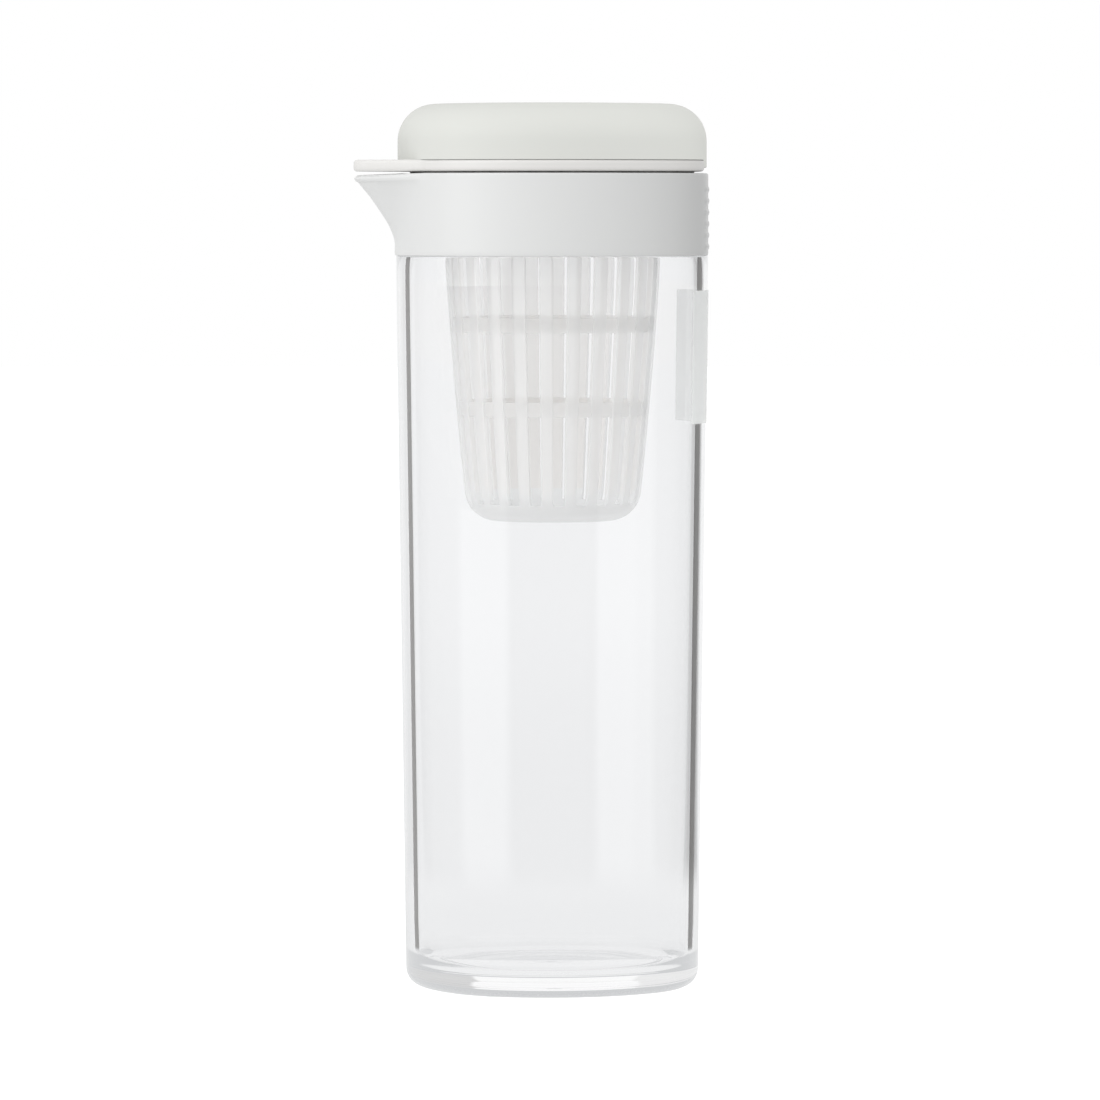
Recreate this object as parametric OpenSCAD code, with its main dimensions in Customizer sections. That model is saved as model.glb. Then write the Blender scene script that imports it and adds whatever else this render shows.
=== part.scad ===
// Fruit infuser pitcher: a tall clear body, a white collar with a spout, a hanging
// basket and a lift-off lid. The foot's centre is the origin, up is +Z, the spout
// points to -X and the back is at +X. All lengths are in millimetres.

/* [Clear body] */
// Height of the shoulder that carries the collar
shoulder_z = 243.6; // [200:1:280]
// Half width across the flats at the shoulder
body_top_h = 51.8; // [50.5:0.1:56]
// How much less the half width is at the foot
body_taper = 3.2; // [0:0.1:5]
// Thickness of the side wall
body_wall = 3.2; // [2.8:0.1:3.8]
// Thickness of the floor
floor_t = 4; // [2.5:0.1:6]
// Height of the hollow under the floor
foot_recess = 2.8; // [1.5:0.1:4]
// Width of the ring that the body stands on
foot_ring_w = 5; // [3:0.1:9]
// Outer rounding at the foot
foot_round = 5.5; // [3:0.1:8]
// Inner rounding between wall and floor
floor_round = 6; // [3:0.1:9]
// Height of the neck inside the collar
neck_height = 6.8; // [5:0.1:8]

/* [Collar] */
// Height of the collar
collar_height = 27.3; // [25:0.1:36]
// Wall of the collar
collar_wall = 1.6; // [1.3:0.05:1.8]
// Rounding of the collar's upper rim
collar_rim_round = 0.7; // [0.4:0.05:0.9]
// Thickness of the shelf that carries the basket
shelf_t = 2; // [1.2:0.1:3]
// Width of the shelf's land around its bore
shelf_land_w = 5.6; // [5.2:0.1:6]
// Width of the shelf's edge outside its pour openings
shelf_edge_w = 1.6; // [1.4:0.1:2.4]

/* [Spout] */
// How far the spout's wall reaches past the collar
spout_reach = 13.7; // [9:0.1:20]
// Half width of the spout where it leaves the collar
spout_half_w = 19; // [15:0.5:24]
// Radius of the spout's tip in plan
spout_tip_r = 6.5; // [5:0.1:8]
// Height of the spout's root above the collar's lower edge
spout_root_rise = 4.5; // [2:0.1:7]
// How far the spout's rim dips at its tip
spout_dip = 0.7; // [0.2:0.1:1.5]
// Wall of the spout
spout_wall = 1.6; // [1.2:0.1:2]
// Height of the bead along the spout's lip
lip_height = 2.4; // [1.6:0.1:3]
// How far the bead stands out
lip_proud = 1.4; // [0.6:0.1:2]
// Depth of the channel below the collar's rim
channel_depth = 10.5; // [7:0.1:11]

/* [Grip at the back] */
// Length of the grip ridges
grip_width = 50; // [30:1:56]
// Height of one grip ridge
ridge_height = 2.2; // [1.2:0.1:2.6]
// How far a grip ridge stands out
ridge_proud = 0.4; // [0.3:0.1:1]
// Spacing of the grip ridges
ridge_pitch = 3.8; // [3.2:0.1:4]
// Height of the lowest ridge above the collar's lower edge
grip_rise = 1.8; // [1:0.1:3]

/* [Infuser basket] */
// Depth of the basket under its rim
basket_depth = 98.6; // [80:0.5:140]
// Room around the basket inside the body's half width
basket_room = 15; // [13:0.1:19]
// How much the basket narrows from its rim to its bottom rounding
basket_taper = 7.2; // [4:0.1:9]
// How far the side bulges past a straight line
basket_bulge = 0.58; // [0:0.02:0.9]
// Radius of the rounding at the bottom
basket_round = 10.5; // [7:0.1:14]
// Thickness of the basket's wall
basket_wall = 2; // [1.6:0.1:2.4]
// Width of the rim past the side
rim_w = 4.9; // [4.2:0.1:5]
// Thickness of the rim
rim_t = 1.8; // [1.2:0.1:2]
// Height of the slots' lower ends above the bottom
slot_low = 5.9; // [5:0.1:9]
// Distance of the slots' upper ends below the rim
slot_top_margin = 4.5; // [3:0.1:8]
// Height of the lower band above the bottom
low_band_z = 35; // [25:0.5:45]
// Height of the upper band above the bottom
high_band_z = 62.8; // [55:0.5:65]
// Height of a band
band_height = 5; // [2.5:0.1:6]
// How far a band lies behind the staves
band_inset = 0.7; // [0.4:0.05:0.9]
// How far a band stands into the basket
band_inner = 0.4; // [0.2:0.05:0.8]

/* [Lid plate] */
// Gap between the collar's rim and the flange
lid_gap = 0.5; // [0.4:0.1:1]
// Thickness of the flange
flange_t = 3.9; // [3:0.1:5]
// Thickness of the plate inside the plug
plate_t = 2; // [1.4:0.1:2.4]
// Step of the flange inside the collar's side
flange_inset = 0.3; // [0:0.05:0.6]
// Rounding along the flange's edge
flange_round = 1.2; // [0.6:0.1:1.4]
// How far the tongue stands past the spout
tongue_over = 0.1; // [0:0.1:1]
// Gap between the plug and the collar's wall
plug_gap = 3.1; // [2.7:0.1:3.3]
// Wall of the plug
plug_wall = 2.2; // [2:0.1:2.4]
// Height of the rib that centres the cover
rib_height = 4; // [2.5:0.1:6]
// Wall of the rib that centres the cover
rib_wall = 1.4; // [1:0.1:2]

/* [Lid cover] */
// Height of the cover above the flange
cover_height = 19; // [17:0.5:30]
// Step of the cover inside the flange's side
cover_inset = 0.25; // [0.1:0.05:0.6]
// Rounding along the cover's top edge
cover_round = 12.3; // [8:0.1:14]
// Crown of the cover's top
cover_crown = 0.4; // [0.2:0.1:1]
// Wall of the cover
cover_wall = 2; // [1.4:0.1:2.4]
// Width of the finger tab
tab_width = 47; // [24:1:50]
// Length of the finger tab below the cover
tab_drop = 2.6; // [1.6:0.1:2.8]
// Thickness of the finger tab
tab_t = 1.2; // [0.9:0.1:1.4]

/* [Seals and label] */
// Thickness of the ring between neck and shelf
collar_seal_t = 1.6; // [1:0.1:2.2]
// Height of the ring around the plug
lid_seal_height = 2.6; // [2:0.1:3.2]
// Distance of the ring above the plug's lower edge
lid_seal_rise = 2.3; // [1.6:0.1:3]
// Depth of the ring's groove in the plug
lid_seal_groove = 1.1; // [0.8:0.1:1.2]
// Width of the blank label
label_width = 48.4; // [30:0.1:56]
// How far the label's middle lies from the back's middle, towards -Y
label_aside = 10.8; // [0:0.1:12]
// Height of the blank label
label_height = 44; // [30:0.5:60]
// Distance of the label's top below the collar
label_drop = 11.5; // [6:0.5:30]
// Thickness of the label
label_t = 0.2; // [0.15:0.05:0.4]

/* [Fits] */
// Gap at pieces that lift off
slide_gap = 0.3; // [0.25:0.05:0.4]
// Gap around the basket in its bore
basket_gap = 0.5; // [0.35:0.05:0.6]
// Gap between pieces that stay together
fit_gap = 0.15; // [0.1:0.01:0.2]
// Small break of sharp edges
edge_ease = 0.4; // [0.2:0.05:0.5]

/* [Hidden] */

// Plan of the body: corner radius and radius of the bulging sides, as shares of
// the half width
corner_share = 0.68;
side_share = 1.163;

// How the spout grows from its root to its lip, as shares of its full size
spout_curve_share = 1.1;
root_width_share = 0.4;

// Counts
side_steps = 12;
corner_steps = 4;
round_steps = 5;
wide_round_steps = 9;
crown_steps = 3;
side_rows = 8;
spout_rows = 8;
tip_steps = 10;
slot_count = 24;
opening_count = 6;
ridge_count = 6;
round_fn = 96;

// Angles
slot_turn = 7.5;
opening_turn = 40;

// Length that a cut runs past what it cuts, and that a joined piece runs in
overrun = 1;

body_foot_h = body_top_h - body_taper;
basket_top_r = body_top_h - basket_room;
basket_low_r = basket_top_r - basket_taper;
collar_top = shoulder_z + collar_height;
neck_top = shoulder_z + neck_height;
shelf_z = neck_top + collar_seal_t;
shelf_top = shelf_z + shelf_t;
collar_in_h = body_top_h - collar_wall;
plug_h = collar_in_h - plug_gap;
neck_h = collar_in_h - fit_gap;
floor_z = foot_recess + floor_t;
bore_r = basket_top_r + basket_gap;
land_r = bore_r + shelf_land_w;
rim_r = basket_top_r + rim_w;
basket_bottom = shelf_top - basket_depth;
lip_z = collar_top - lip_height;
spout_root_z = shoulder_z + spout_root_rise;
flange_z = collar_top + lid_gap;
flange_top = flange_z + flange_t;
flange_h = body_top_h - flange_inset;
cover_h = flange_h - cover_inset;
cover_in_h = cover_h - cover_wall;
cover_top = flange_top + cover_height;
plug_bottom = shelf_top + slide_gap;
seal_z = plug_bottom + lid_seal_rise;
groove_h = plug_h - lid_seal_groove;
plug_in_h = plug_h - plug_wall;
label_top = shoulder_z - label_drop;

// Plan for a half width of one: where a side's arc meets a corner's arc
side_back = side_share - 1;
corner_c = (sqrt(2 * pow(side_share - corner_share, 2) - pow(side_back, 2)) - side_back) / 2;
side_end = atan2(corner_c, corner_c + side_back);

function turned(p, angle) = [p.x * cos(angle) - p.y * sin(angle), p.x * sin(angle) + p.y * cos(angle)];

function side_point(angle) = [side_share * cos(angle) - side_back, side_share * sin(angle)];

function corner_point(angle) = [corner_c + corner_share * cos(angle), corner_c + corner_share * sin(angle)];

// A quarter of the plan: the side round +X and then the corner
quarter_ring = concat(
    [for (i = [0 : side_steps - 1]) side_point(side_end * (2 * i / side_steps - 1))],
    [for (i = [0 : corner_steps - 1]) corner_point(side_end + (90 - 2 * side_end) * i / corner_steps)]
);

body_ring = [for (q = [0 : 3]) for (p = quarter_ring) turned(p, 90 * q)];

// Stretch of the plan round the back, of a given width on a given half width, with
// its middle a given distance aside of the back's middle
corner_turn = 90 - 2 * side_end;
back_side = concat(
    [for (i = [corner_steps : -1 : 1])
        let (p = corner_point(side_end + corner_turn * i / corner_steps)) [p.x, -p.y]],
    [for (i = [0 : side_steps]) side_point(side_end * (2 * i / side_steps - 1))],
    [for (i = [1 : corner_steps]) corner_point(side_end + corner_turn * i / corner_steps)]
);
back_table = [for (p = back_side) [p.y, p.x]];
function back_stretch(width, h, aside = 0) =
    let (from = (aside - width / 2) / h, to = (aside + width / 2) / h)
    concat(
        [[lookup(from, back_table), from]],
        [for (p = back_side) if (p.y > from && p.y < to) p],
        [[lookup(to, back_table), to]]
    );

// Half width of the body at a height
function body_h(z) = body_foot_h + (body_top_h - body_foot_h) * z / shoulder_z;

// Arc in a section: centre, radius, first and last angle
function arc(x, z, r, from, to, steps = round_steps) =
    [for (i = [0 : steps]) let (a = from + (to - from) * i / steps) [x + r * cos(a), z + r * sin(a)]];

// Plan of a beak that points to -X: its back edge, then its tip as an arc between
// the two straight sides
function beak(back_x, reach, half_w, tip_r) =
    let (tip_c = reach - tip_r)
    let (slope = atan2(half_w, tip_c - back_x), touch = asin(tip_r / norm([tip_c - back_x, half_w])))
    let (start = 90 - slope + touch)
    concat(
        [[-back_x, half_w]],
        [for (i = [0 : tip_steps])
            let (a = start * (1 - 2 * i / tip_steps)) [-tip_c - tip_r * cos(a), tip_r * sin(a)]],
        [[-back_x, -half_w]]
    );

// Share of the spout's growth at a height
function spout_share(z) = pow(max(0, min(1, (z - spout_root_z) / (lip_z - spout_root_z))), spout_curve_share);

// Outer surface: half widths and heights are swept round the ring. A closed
// section makes a loop with a hole, and an open one is capped at both its ends.
module swept(ring, section, closed = false) {
    n = len(ring);
    m = len(section);
    points = [for (s = section) for (p = ring) [p.x * s.x, p.y * s.x, s.y]];
    sides = [for (j = [0 : closed ? m - 1 : m - 2]) for (i = [0 : n - 1])
        let (k = (i + 1) % n, a = n * j, b = n * ((j + 1) % m)) [a + i, b + i, b + k, a + k]];
    caps = closed ? [] : [[for (i = [0 : n - 1]) i], [for (i = [0 : n - 1]) n * m - 1 - i]];
    polyhedron(points, concat(sides, caps), convexity = 8);
}

// A closed section swept along an open stretch of the plan
module swept_stretch(stretch, section) {
    n = len(stretch);
    m = len(section);
    points = [for (s = section) for (p = stretch) [p.x * s.x, p.y * s.x, s.y]];
    sides = [for (j = [0 : m - 1]) for (i = [0 : n - 2])
        let (a = n * j, b = n * ((j + 1) % m)) [a + i, b + i, b + i + 1, a + i + 1]];
    ends = [[for (j = [0 : m - 1]) n * (m - 1 - j)], [for (j = [0 : m - 1]) n * j + n - 1]];
    polyhedron(points, concat(sides, ends), convexity = 4);
}

// A stack of plans with the same number of points, each point with its height
module stacked(rows) {
    n = len(rows[0]);
    m = len(rows);
    points = [for (row = rows) for (p = row) p];
    sides = [for (j = [0 : m - 2]) for (i = [0 : n - 1])
        let (k = (i + 1) % n, a = n * j, b = n * (j + 1)) [a + i, b + i, b + k, a + k]];
    caps = [[for (i = [0 : n - 1]) i], [for (i = [0 : n - 1]) n * m - 1 - i]];
    polyhedron(points, concat(sides, caps), convexity = 8);
}

module vessel_body() {
    foot_h = body_foot_h - foot_round;
    recess_h = foot_h - foot_ring_w;
    floor_in_h = body_h(floor_z) - body_wall - floor_round;
    outside = concat(
        arc(foot_h, foot_round, foot_round, -90, 0),
        [
            [body_top_h, shoulder_z - edge_ease],
            [body_top_h - edge_ease, shoulder_z],
            [neck_h, shoulder_z],
            [neck_h, neck_top - edge_ease],
            [neck_h - edge_ease, neck_top]
        ]
    );
    inside = concat(
        arc(floor_in_h, floor_z + floor_round, floor_round, -90, 0),
        [[body_h(neck_top) - body_wall, neck_top], [body_h(neck_top) - body_wall, neck_top + overrun]]
    );
    recess = [
        [recess_h + edge_ease, -overrun],
        [recess_h + edge_ease, 0],
        [recess_h - foot_recess, foot_recess]
    ];
    color([0.93, 0.95, 0.96, 0.35]) difference() {
        swept(body_ring, outside);
        swept(body_ring, inside);
        swept(body_ring, recess);
    }
}

// Spout and its lip, or the channel inside them, between two heights
module spout_form(back_x, inset, bottom, top, lip) {
    rim_fall = function (x) spout_dip * (-x - back_x) / (body_top_h + spout_reach - back_x);
    heights = [for (i = [0 : spout_rows]) bottom + (top - bottom) * i / spout_rows];
    body_rows = [for (z = heights)
        let (s = spout_share(z), half_w = spout_half_w * (root_width_share + (1 - root_width_share) * s))
        [for (p = beak(back_x, body_top_h + spout_reach * s - inset, half_w - inset, spout_tip_r - inset / 2))
            [p.x, p.y, z]]];
    lip_section = [for (i = [0 : round_steps]) let (a = 180 * i / round_steps) [sin(a), (1 - cos(a)) / 2]];
    lip_rows = [for (q = lip_section)
        let (out = lip * q.x)
        [for (p = beak(back_x, body_top_h + spout_reach + out, spout_half_w + out / 2, spout_tip_r + out))
            [p.x, p.y, lip_z + lip_height * q.y - rim_fall(p.x)]]];
    stacked(lip > 0 ? concat([for (j = [0 : spout_rows - 1]) body_rows[j]], lip_rows) : body_rows);
}

module grip() {
    stretch = back_stretch(grip_width, body_top_h);
    for (i = [0 : ridge_count - 1]) {
        z = shoulder_z + grip_rise + ridge_pitch * i;
        ridge = [for (j = [0 : round_steps])
            let (a = 180 * j / round_steps)
            [body_top_h + ridge_proud * sin(a), z + ridge_height * (1 - cos(a)) / 2]];
        root = [
            [body_top_h - collar_wall / 2, z + ridge_height],
            [body_top_h - collar_wall / 2, z]
        ];
        swept_stretch(stretch, concat(ridge, root));
    }
}

// Sectors of the shelf between its land and its edge
module pour_openings() {
    reach = collar_in_h;
    for (i = [0 : opening_count - 1])
        rotate([0, 0, 180 + 360 * i / opening_count])
            translate([0, 0, shelf_z - overrun])
                linear_extrude(shelf_t + 2 * overrun)
                    intersection() {
                        difference() {
                            circle(r = collar_in_h - shelf_edge_w, $fn = round_fn);
                            circle(r = land_r, $fn = round_fn);
                        }
                        polygon([
                            [0, 0],
                            [reach, -reach * tan(opening_turn / 2)],
                            [reach, reach * tan(opening_turn / 2)]
                        ]);
                    }
}

module collar() {
    outer = concat(
        [[body_top_h - edge_ease, shoulder_z], [body_top_h, shoulder_z + edge_ease]],
        arc(body_top_h - collar_rim_round, collar_top - collar_rim_round, collar_rim_round, 0, 90)
    );
    neck_room = [
        [collar_in_h, shoulder_z - overrun],
        [collar_in_h, shelf_z]
    ];
    mouth = [
        [collar_in_h, shelf_top],
        [collar_in_h, collar_top - edge_ease],
        [collar_in_h + edge_ease, collar_top],
        [collar_in_h + edge_ease, collar_top + overrun]
    ];
    color([0.87, 0.88, 0.87]) difference() {
        union() {
            swept(body_ring, outer);
            spout_form(plug_h, 0, spout_root_z, lip_z, lip_proud);
            grip();
        }
        swept(body_ring, neck_room);
        swept(body_ring, mouth);
        spout_form(plug_h - plug_wall, spout_wall, collar_top - channel_depth, collar_top + overrun, 0);
        translate([0, 0, shelf_z - overrun]) cylinder(r = bore_r, h = shelf_t + 2 * overrun, $fn = round_fn);
        pour_openings();
    }
}

module collar_seal() {
    inner_h = body_h(neck_top) - body_wall;
    section = [
        [inner_h, neck_top],
        [neck_h, neck_top],
        [neck_h, shelf_z],
        [inner_h, shelf_z]
    ];
    color([0.9, 0.91, 0.9]) swept(body_ring, section, true);
}

// Lean of the basket's side at its lower end, and the height of that end
side_lean = atan((basket_top_r - basket_low_r + 4 * basket_bulge) / (basket_depth - basket_round));
side_low_z = basket_bottom + basket_round * (1 - sin(side_lean));
side_run = shelf_top - side_low_z;

// Outer radius of the basket's side at a share of its run, from the rounding up
function basket_r(share) =
    basket_low_r + (basket_top_r - basket_low_r) * share + basket_bulge * 4 * share * (1 - share);

function basket_side(inset, from, to, steps) =
    [for (i = [0 : steps])
        let (share = from + (to - from) * i / steps)
        [basket_r(share) - inset, side_low_z + side_run * share]];

// Share of the side's run at a height
function side_share_at(z) = (z - side_low_z) / side_run;

module basket_wall_form() {
    round_c = [basket_low_r - basket_round * cos(side_lean), basket_bottom + basket_round];
    in_round = basket_round - basket_wall;
    outer = concat(
        [[0, basket_bottom]],
        arc(round_c.x, round_c.y, basket_round, -90, -side_lean, wide_round_steps),
        basket_side(0, 1 / side_rows, 1, side_rows - 1)
    );
    rim = [
        [rim_r, shelf_top],
        [rim_r, shelf_top + rim_t - edge_ease],
        [rim_r - edge_ease, shelf_top + rim_t],
        [basket_top_r - basket_wall, shelf_top + rim_t]
    ];
    inner = concat(
        basket_side(basket_wall, 1, 1 / side_rows, side_rows - 1),
        arc(round_c.x, round_c.y, in_round, -side_lean, -90, wide_round_steps),
        [[0, basket_bottom + basket_wall]]
    );
    rotate_extrude($fn = round_fn) polygon(concat(outer, rim, inner));
}

module slots() {
    low = basket_bottom + slot_low;
    high = shelf_top - slot_top_margin;
    inner_r = basket_low_r - basket_round;
    outer_r = rim_r;
    for (i = [0 : slot_count - 1])
        rotate([0, 0, 360 * (i + 0.5) / slot_count])
            translate([0, 0, low])
                linear_extrude(high - low)
                    polygon([
                        [inner_r, -inner_r * tan(slot_turn / 2)],
                        [outer_r, -outer_r * tan(slot_turn / 2)],
                        [outer_r, outer_r * tan(slot_turn / 2)],
                        [inner_r, inner_r * tan(slot_turn / 2)]
                    ]);
}

module band(rise) {
    low = basket_bottom + rise;
    from = side_share_at(low);
    to = side_share_at(low + band_height);
    outer = basket_side(band_inset, from, to, 1);
    inner = basket_side(basket_wall + band_inner, to, from, 1);
    rotate_extrude($fn = round_fn) polygon(concat(outer, inner));
}

module infuser_basket() {
    color([0.9, 0.9, 0.89, 0.8]) union() {
        difference() {
            basket_wall_form();
            slots();
        }
        band(low_band_z);
        band(high_band_z);
    }
}

// Plan of the flange: the body's plan with a tongue over the spout
tongue_reach = body_top_h + spout_reach + lip_proud + tongue_over;
tongue_half_w = spout_half_w + lip_proud / 2 + tongue_over;
tongue = beak(plug_h, tongue_reach, tongue_half_w, spout_tip_r + lip_proud + tongue_over);
half_ring = 2 * (side_steps + corner_steps) + side_steps / 2;
function beside_tongue(p) = p.x > 0 || abs(p.y) * flange_h > tongue_half_w;
flange_ring = concat(
    [for (i = [0 : half_ring - 1]) if (beside_tongue(body_ring[i])) body_ring[i]],
    [for (i = [1 : len(tongue) - 2]) tongue[i] / flange_h],
    [for (i = [half_ring : len(body_ring) - 1]) if (beside_tongue(body_ring[i])) body_ring[i]]
);

module lid_plate() {
    rib_h = cover_in_h - fit_gap;
    notch_h = cover_h - tab_t - fit_gap;
    low_round = arc(flange_h - flange_round, flange_z + flange_round, flange_round, -90, 0);
    high_round = arc(flange_h - flange_round, flange_top - flange_round, flange_round, 0, 90);
    hollow = [
        [plug_in_h, flange_z - overrun],
        [plug_in_h, flange_top - plate_t]
    ];
    rib = [
        [rib_h - rib_wall, flange_top - overrun],
        [rib_h, flange_top - overrun],
        [rib_h, flange_top + rib_height],
        [rib_h - rib_wall, flange_top + rib_height]
    ];
    notch = [
        [notch_h, flange_z - overrun],
        [body_top_h + overrun, flange_z - overrun],
        [body_top_h + overrun, flange_top + overrun],
        [notch_h, flange_top + overrun]
    ];
    color([0.88, 0.88, 0.87]) difference() {
        union() {
            swept(flange_ring, concat(low_round, high_round));
            swept(body_ring, rib, true);
        }
        swept(body_ring, hollow);
        swept_stretch(back_stretch(tab_width + 2 * fit_gap, cover_h), notch);
    }
}

// The skirt under the lid plate that closes the collar, with the seal's groove
module lid_plug() {
    section = [
        [plug_in_h, plug_bottom],
        [plug_h - edge_ease, plug_bottom],
        [plug_h, plug_bottom + edge_ease],
        [plug_h, seal_z],
        [groove_h, seal_z],
        [groove_h, seal_z + lid_seal_height],
        [plug_h, seal_z + lid_seal_height],
        [plug_h, flange_z],
        [plug_in_h, flange_z]
    ];
    color([0.88, 0.88, 0.87]) swept(body_ring, section, true);
}

// Everything below the cover's lower edge apart from its finger tab
module below_cover() {
    low = flange_top - tab_drop - overrun;
    height = flange_top - low;
    reach = body_top_h + overrun;
    inside = [
        [cover_h - tab_t, low - overrun],
        [cover_h - tab_t, flange_top + overrun]
    ];
    difference() {
        translate([-reach, -reach, low]) cube([2 * reach, 2 * reach, height]);
        difference() {
            translate([0, -tab_width / 2, low - overrun])
                cube([reach + overrun, tab_width, height + 2 * overrun]);
            swept(body_ring, inside);
        }
    }
}

module lid_cover() {
    inner_round = cover_round - cover_wall;
    round_h = cover_h - cover_round;
    round_z = cover_top - cover_crown - cover_round;
    tab_z = flange_top - tab_drop;
    crown = [for (i = [1 : crown_steps])
        let (share = 1 - i / (crown_steps + 1))
        [round_h * share, cover_top - cover_crown * pow(share, 2)]];
    outside = concat(
        [[cover_h - edge_ease, tab_z], [cover_h, tab_z + edge_ease]],
        arc(round_h, round_z, cover_round, 0, 90, wide_round_steps),
        crown
    );
    hollow = concat(
        [[cover_in_h, flange_top - overrun]],
        arc(round_h, round_z, inner_round, 0, 90, wide_round_steps)
    );
    color([0.85, 0.86, 0.84]) difference() {
        swept(body_ring, outside);
        swept(body_ring, hollow);
        below_cover();
    }
}

module lid_seal() {
    outer_h = collar_in_h - slide_gap;
    inner_h = groove_h + fit_gap;
    low = seal_z + fit_gap;
    high = seal_z + lid_seal_height - fit_gap;
    lip_r = (high - low) / 2;
    section = concat(
        [[inner_h, low]],
        arc(outer_h - lip_r, low + lip_r, lip_r, -90, 90),
        [[inner_h, high]]
    );
    color([0.9, 0.91, 0.9]) swept(body_ring, section, true);
}

module back_label() {
    low = label_top - label_height;
    section = [
        [body_h(low) + fit_gap / 2, low],
        [body_h(low) + fit_gap / 2 + label_t, low],
        [body_h(label_top) + fit_gap / 2 + label_t, label_top],
        [body_h(label_top) + fit_gap / 2, label_top]
    ];
    color([0.88, 0.89, 0.89])
        swept_stretch(back_stretch(label_width, body_top_h, -label_aside), section);
}

vessel_body();
collar();
collar_seal();
infuser_basket();
lid_plate();
lid_plug();
lid_cover();
lid_seal();
back_label();
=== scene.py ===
"""Looks of the fruit infuser pitcher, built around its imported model.

The clear body, the spouted collar, the slotted basket and the lid are grown ring by
ring with bmesh operators around the frame's own axis, in metres.
"""

from __future__ import annotations

import logging
import math
from collections.abc import Callable, Iterable, Sequence
from dataclasses import dataclass, field
from enum import Enum

import bmesh
import bpy
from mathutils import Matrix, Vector


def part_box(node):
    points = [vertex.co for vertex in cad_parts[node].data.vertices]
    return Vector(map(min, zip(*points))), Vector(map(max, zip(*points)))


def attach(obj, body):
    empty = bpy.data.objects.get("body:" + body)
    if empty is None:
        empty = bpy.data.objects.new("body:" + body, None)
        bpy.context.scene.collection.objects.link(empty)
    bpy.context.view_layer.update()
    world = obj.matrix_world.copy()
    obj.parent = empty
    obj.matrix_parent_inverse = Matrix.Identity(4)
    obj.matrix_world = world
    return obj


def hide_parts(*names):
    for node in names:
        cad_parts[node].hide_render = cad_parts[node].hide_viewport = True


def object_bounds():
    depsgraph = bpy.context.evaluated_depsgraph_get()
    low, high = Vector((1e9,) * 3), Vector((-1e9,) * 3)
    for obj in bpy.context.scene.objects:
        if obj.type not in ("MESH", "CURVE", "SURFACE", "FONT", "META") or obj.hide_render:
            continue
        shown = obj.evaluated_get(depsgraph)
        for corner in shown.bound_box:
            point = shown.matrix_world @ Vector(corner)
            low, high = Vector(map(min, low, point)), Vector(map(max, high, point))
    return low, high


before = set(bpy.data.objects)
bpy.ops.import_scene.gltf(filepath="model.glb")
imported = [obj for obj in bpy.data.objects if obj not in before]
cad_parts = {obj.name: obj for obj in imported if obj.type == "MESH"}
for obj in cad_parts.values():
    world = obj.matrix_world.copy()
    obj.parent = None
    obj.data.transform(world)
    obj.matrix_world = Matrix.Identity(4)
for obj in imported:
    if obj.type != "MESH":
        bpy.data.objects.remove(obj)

CAD_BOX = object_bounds()
LOG = logging.getLogger("pitcher")

MM = 0.001
RING_STEPS = 288
SHARP_EDGE = math.radians(32)
SLOT_EDGE = math.radians(50)
DEGENERATE = 1e-7
POLE_RADIUS = 1e-6
MERGE_WITHIN = 4e-6
SLOT_REACH = 1e-5
WHITE = (1, 1, 1, 1)

# Pieces that an arc or a wall is cut into.
EDGE_STEPS = 3
CORNER_STEPS = 4
RIM_STEPS = 5
ROUND_STEPS = 6
HALF_STEPS = 12
FOOT_STEPS = 14
BOTTOM_STEPS = 16
TOP_STEPS = 22
WALL_STEPS = 24

# Share of a wall's thickness past which a place counts as its inner face.
INSIDE = 0.8

# Where rings lie on a flat face, as shares of its half width.
OUTWARD = (0.3, 0.6, 0.85)
INWARD = (0.8, 0.5, 0.2)

Reach = Callable[[float], float]
Height = Callable[[float], float]
Point = tuple[float, float]
Span = tuple[float, float]
Section = list[Point]
Colour = tuple[float, float, float]
Socket = bpy.types.NodeSocket
Tree = bpy.types.NodeTree


class Body(Enum):
    """The rigid bodies of the model."""

    VESSEL = "vessel"
    INFUSER = "infuser"
    LID = "lid"


class Slot(Enum):
    """The record's material slots."""

    CLEAR = "clear_plastic"
    WHITE = "white_plastic"
    GREY = "grey_plastic"
    FROSTED = "frosted_plastic"
    SILICONE = "silicone"
    LABEL = "label_film"


def smooth(edge_low: float, edge_high: float, value: float) -> float:
    """Ease from 0 to 1 between two edges.

    Args:
        edge_low: Value at which the result leaves 0.
        edge_high: Value at which the result reaches 1.
        value: Where the curve is read.

    Returns:
        The eased share between 0 and 1.
    """
    share = min(1.0, max(0.0, (value - edge_low) / (edge_high - edge_low)))
    return share * share * (3 - 2 * share)


def blended_max(first: float, second: float, blend: float) -> float:
    """Take the larger value, with a rounded corner where the two are close.

    Args:
        first: One value.
        second: The other value.
        blend: Difference below which the corner is rounded.

    Returns:
        The larger value, raised by a quarter of the blend where both are equal.
    """
    near = max(blend - abs(first - second), 0.0) / blend
    return max(first, second) + near * near * blend / 4


def arc(centre: Point, radius: float, start: float, end: float, steps: int) -> Section:
    """Points along an arc in a section.

    Args:
        centre: Half width and height of the arc's centre.
        radius: Radius of the arc.
        start: First angle in degrees, from the outward direction upwards.
        end: Last angle in degrees.
        steps: Number of pieces the arc is cut into.

    Returns:
        The points from the first angle to the last.
    """
    turns = [math.radians(start + (end - start) * i / steps) for i in range(steps + 1)]
    return [(centre[0] + radius * math.cos(t), centre[1] + radius * math.sin(t)) for t in turns]


def line(start: Point, end: Point, steps: int) -> Section:
    """Points along a straight line in a section, both ends included.

    Args:
        start: First point.
        end: Last point.
        steps: Number of pieces.

    Returns:
        The points.
    """
    return [
        (start[0] + (end[0] - start[0]) * i / steps, start[1] + (end[1] - start[1]) * i / steps)
        for i in range(steps + 1)
    ]


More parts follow.
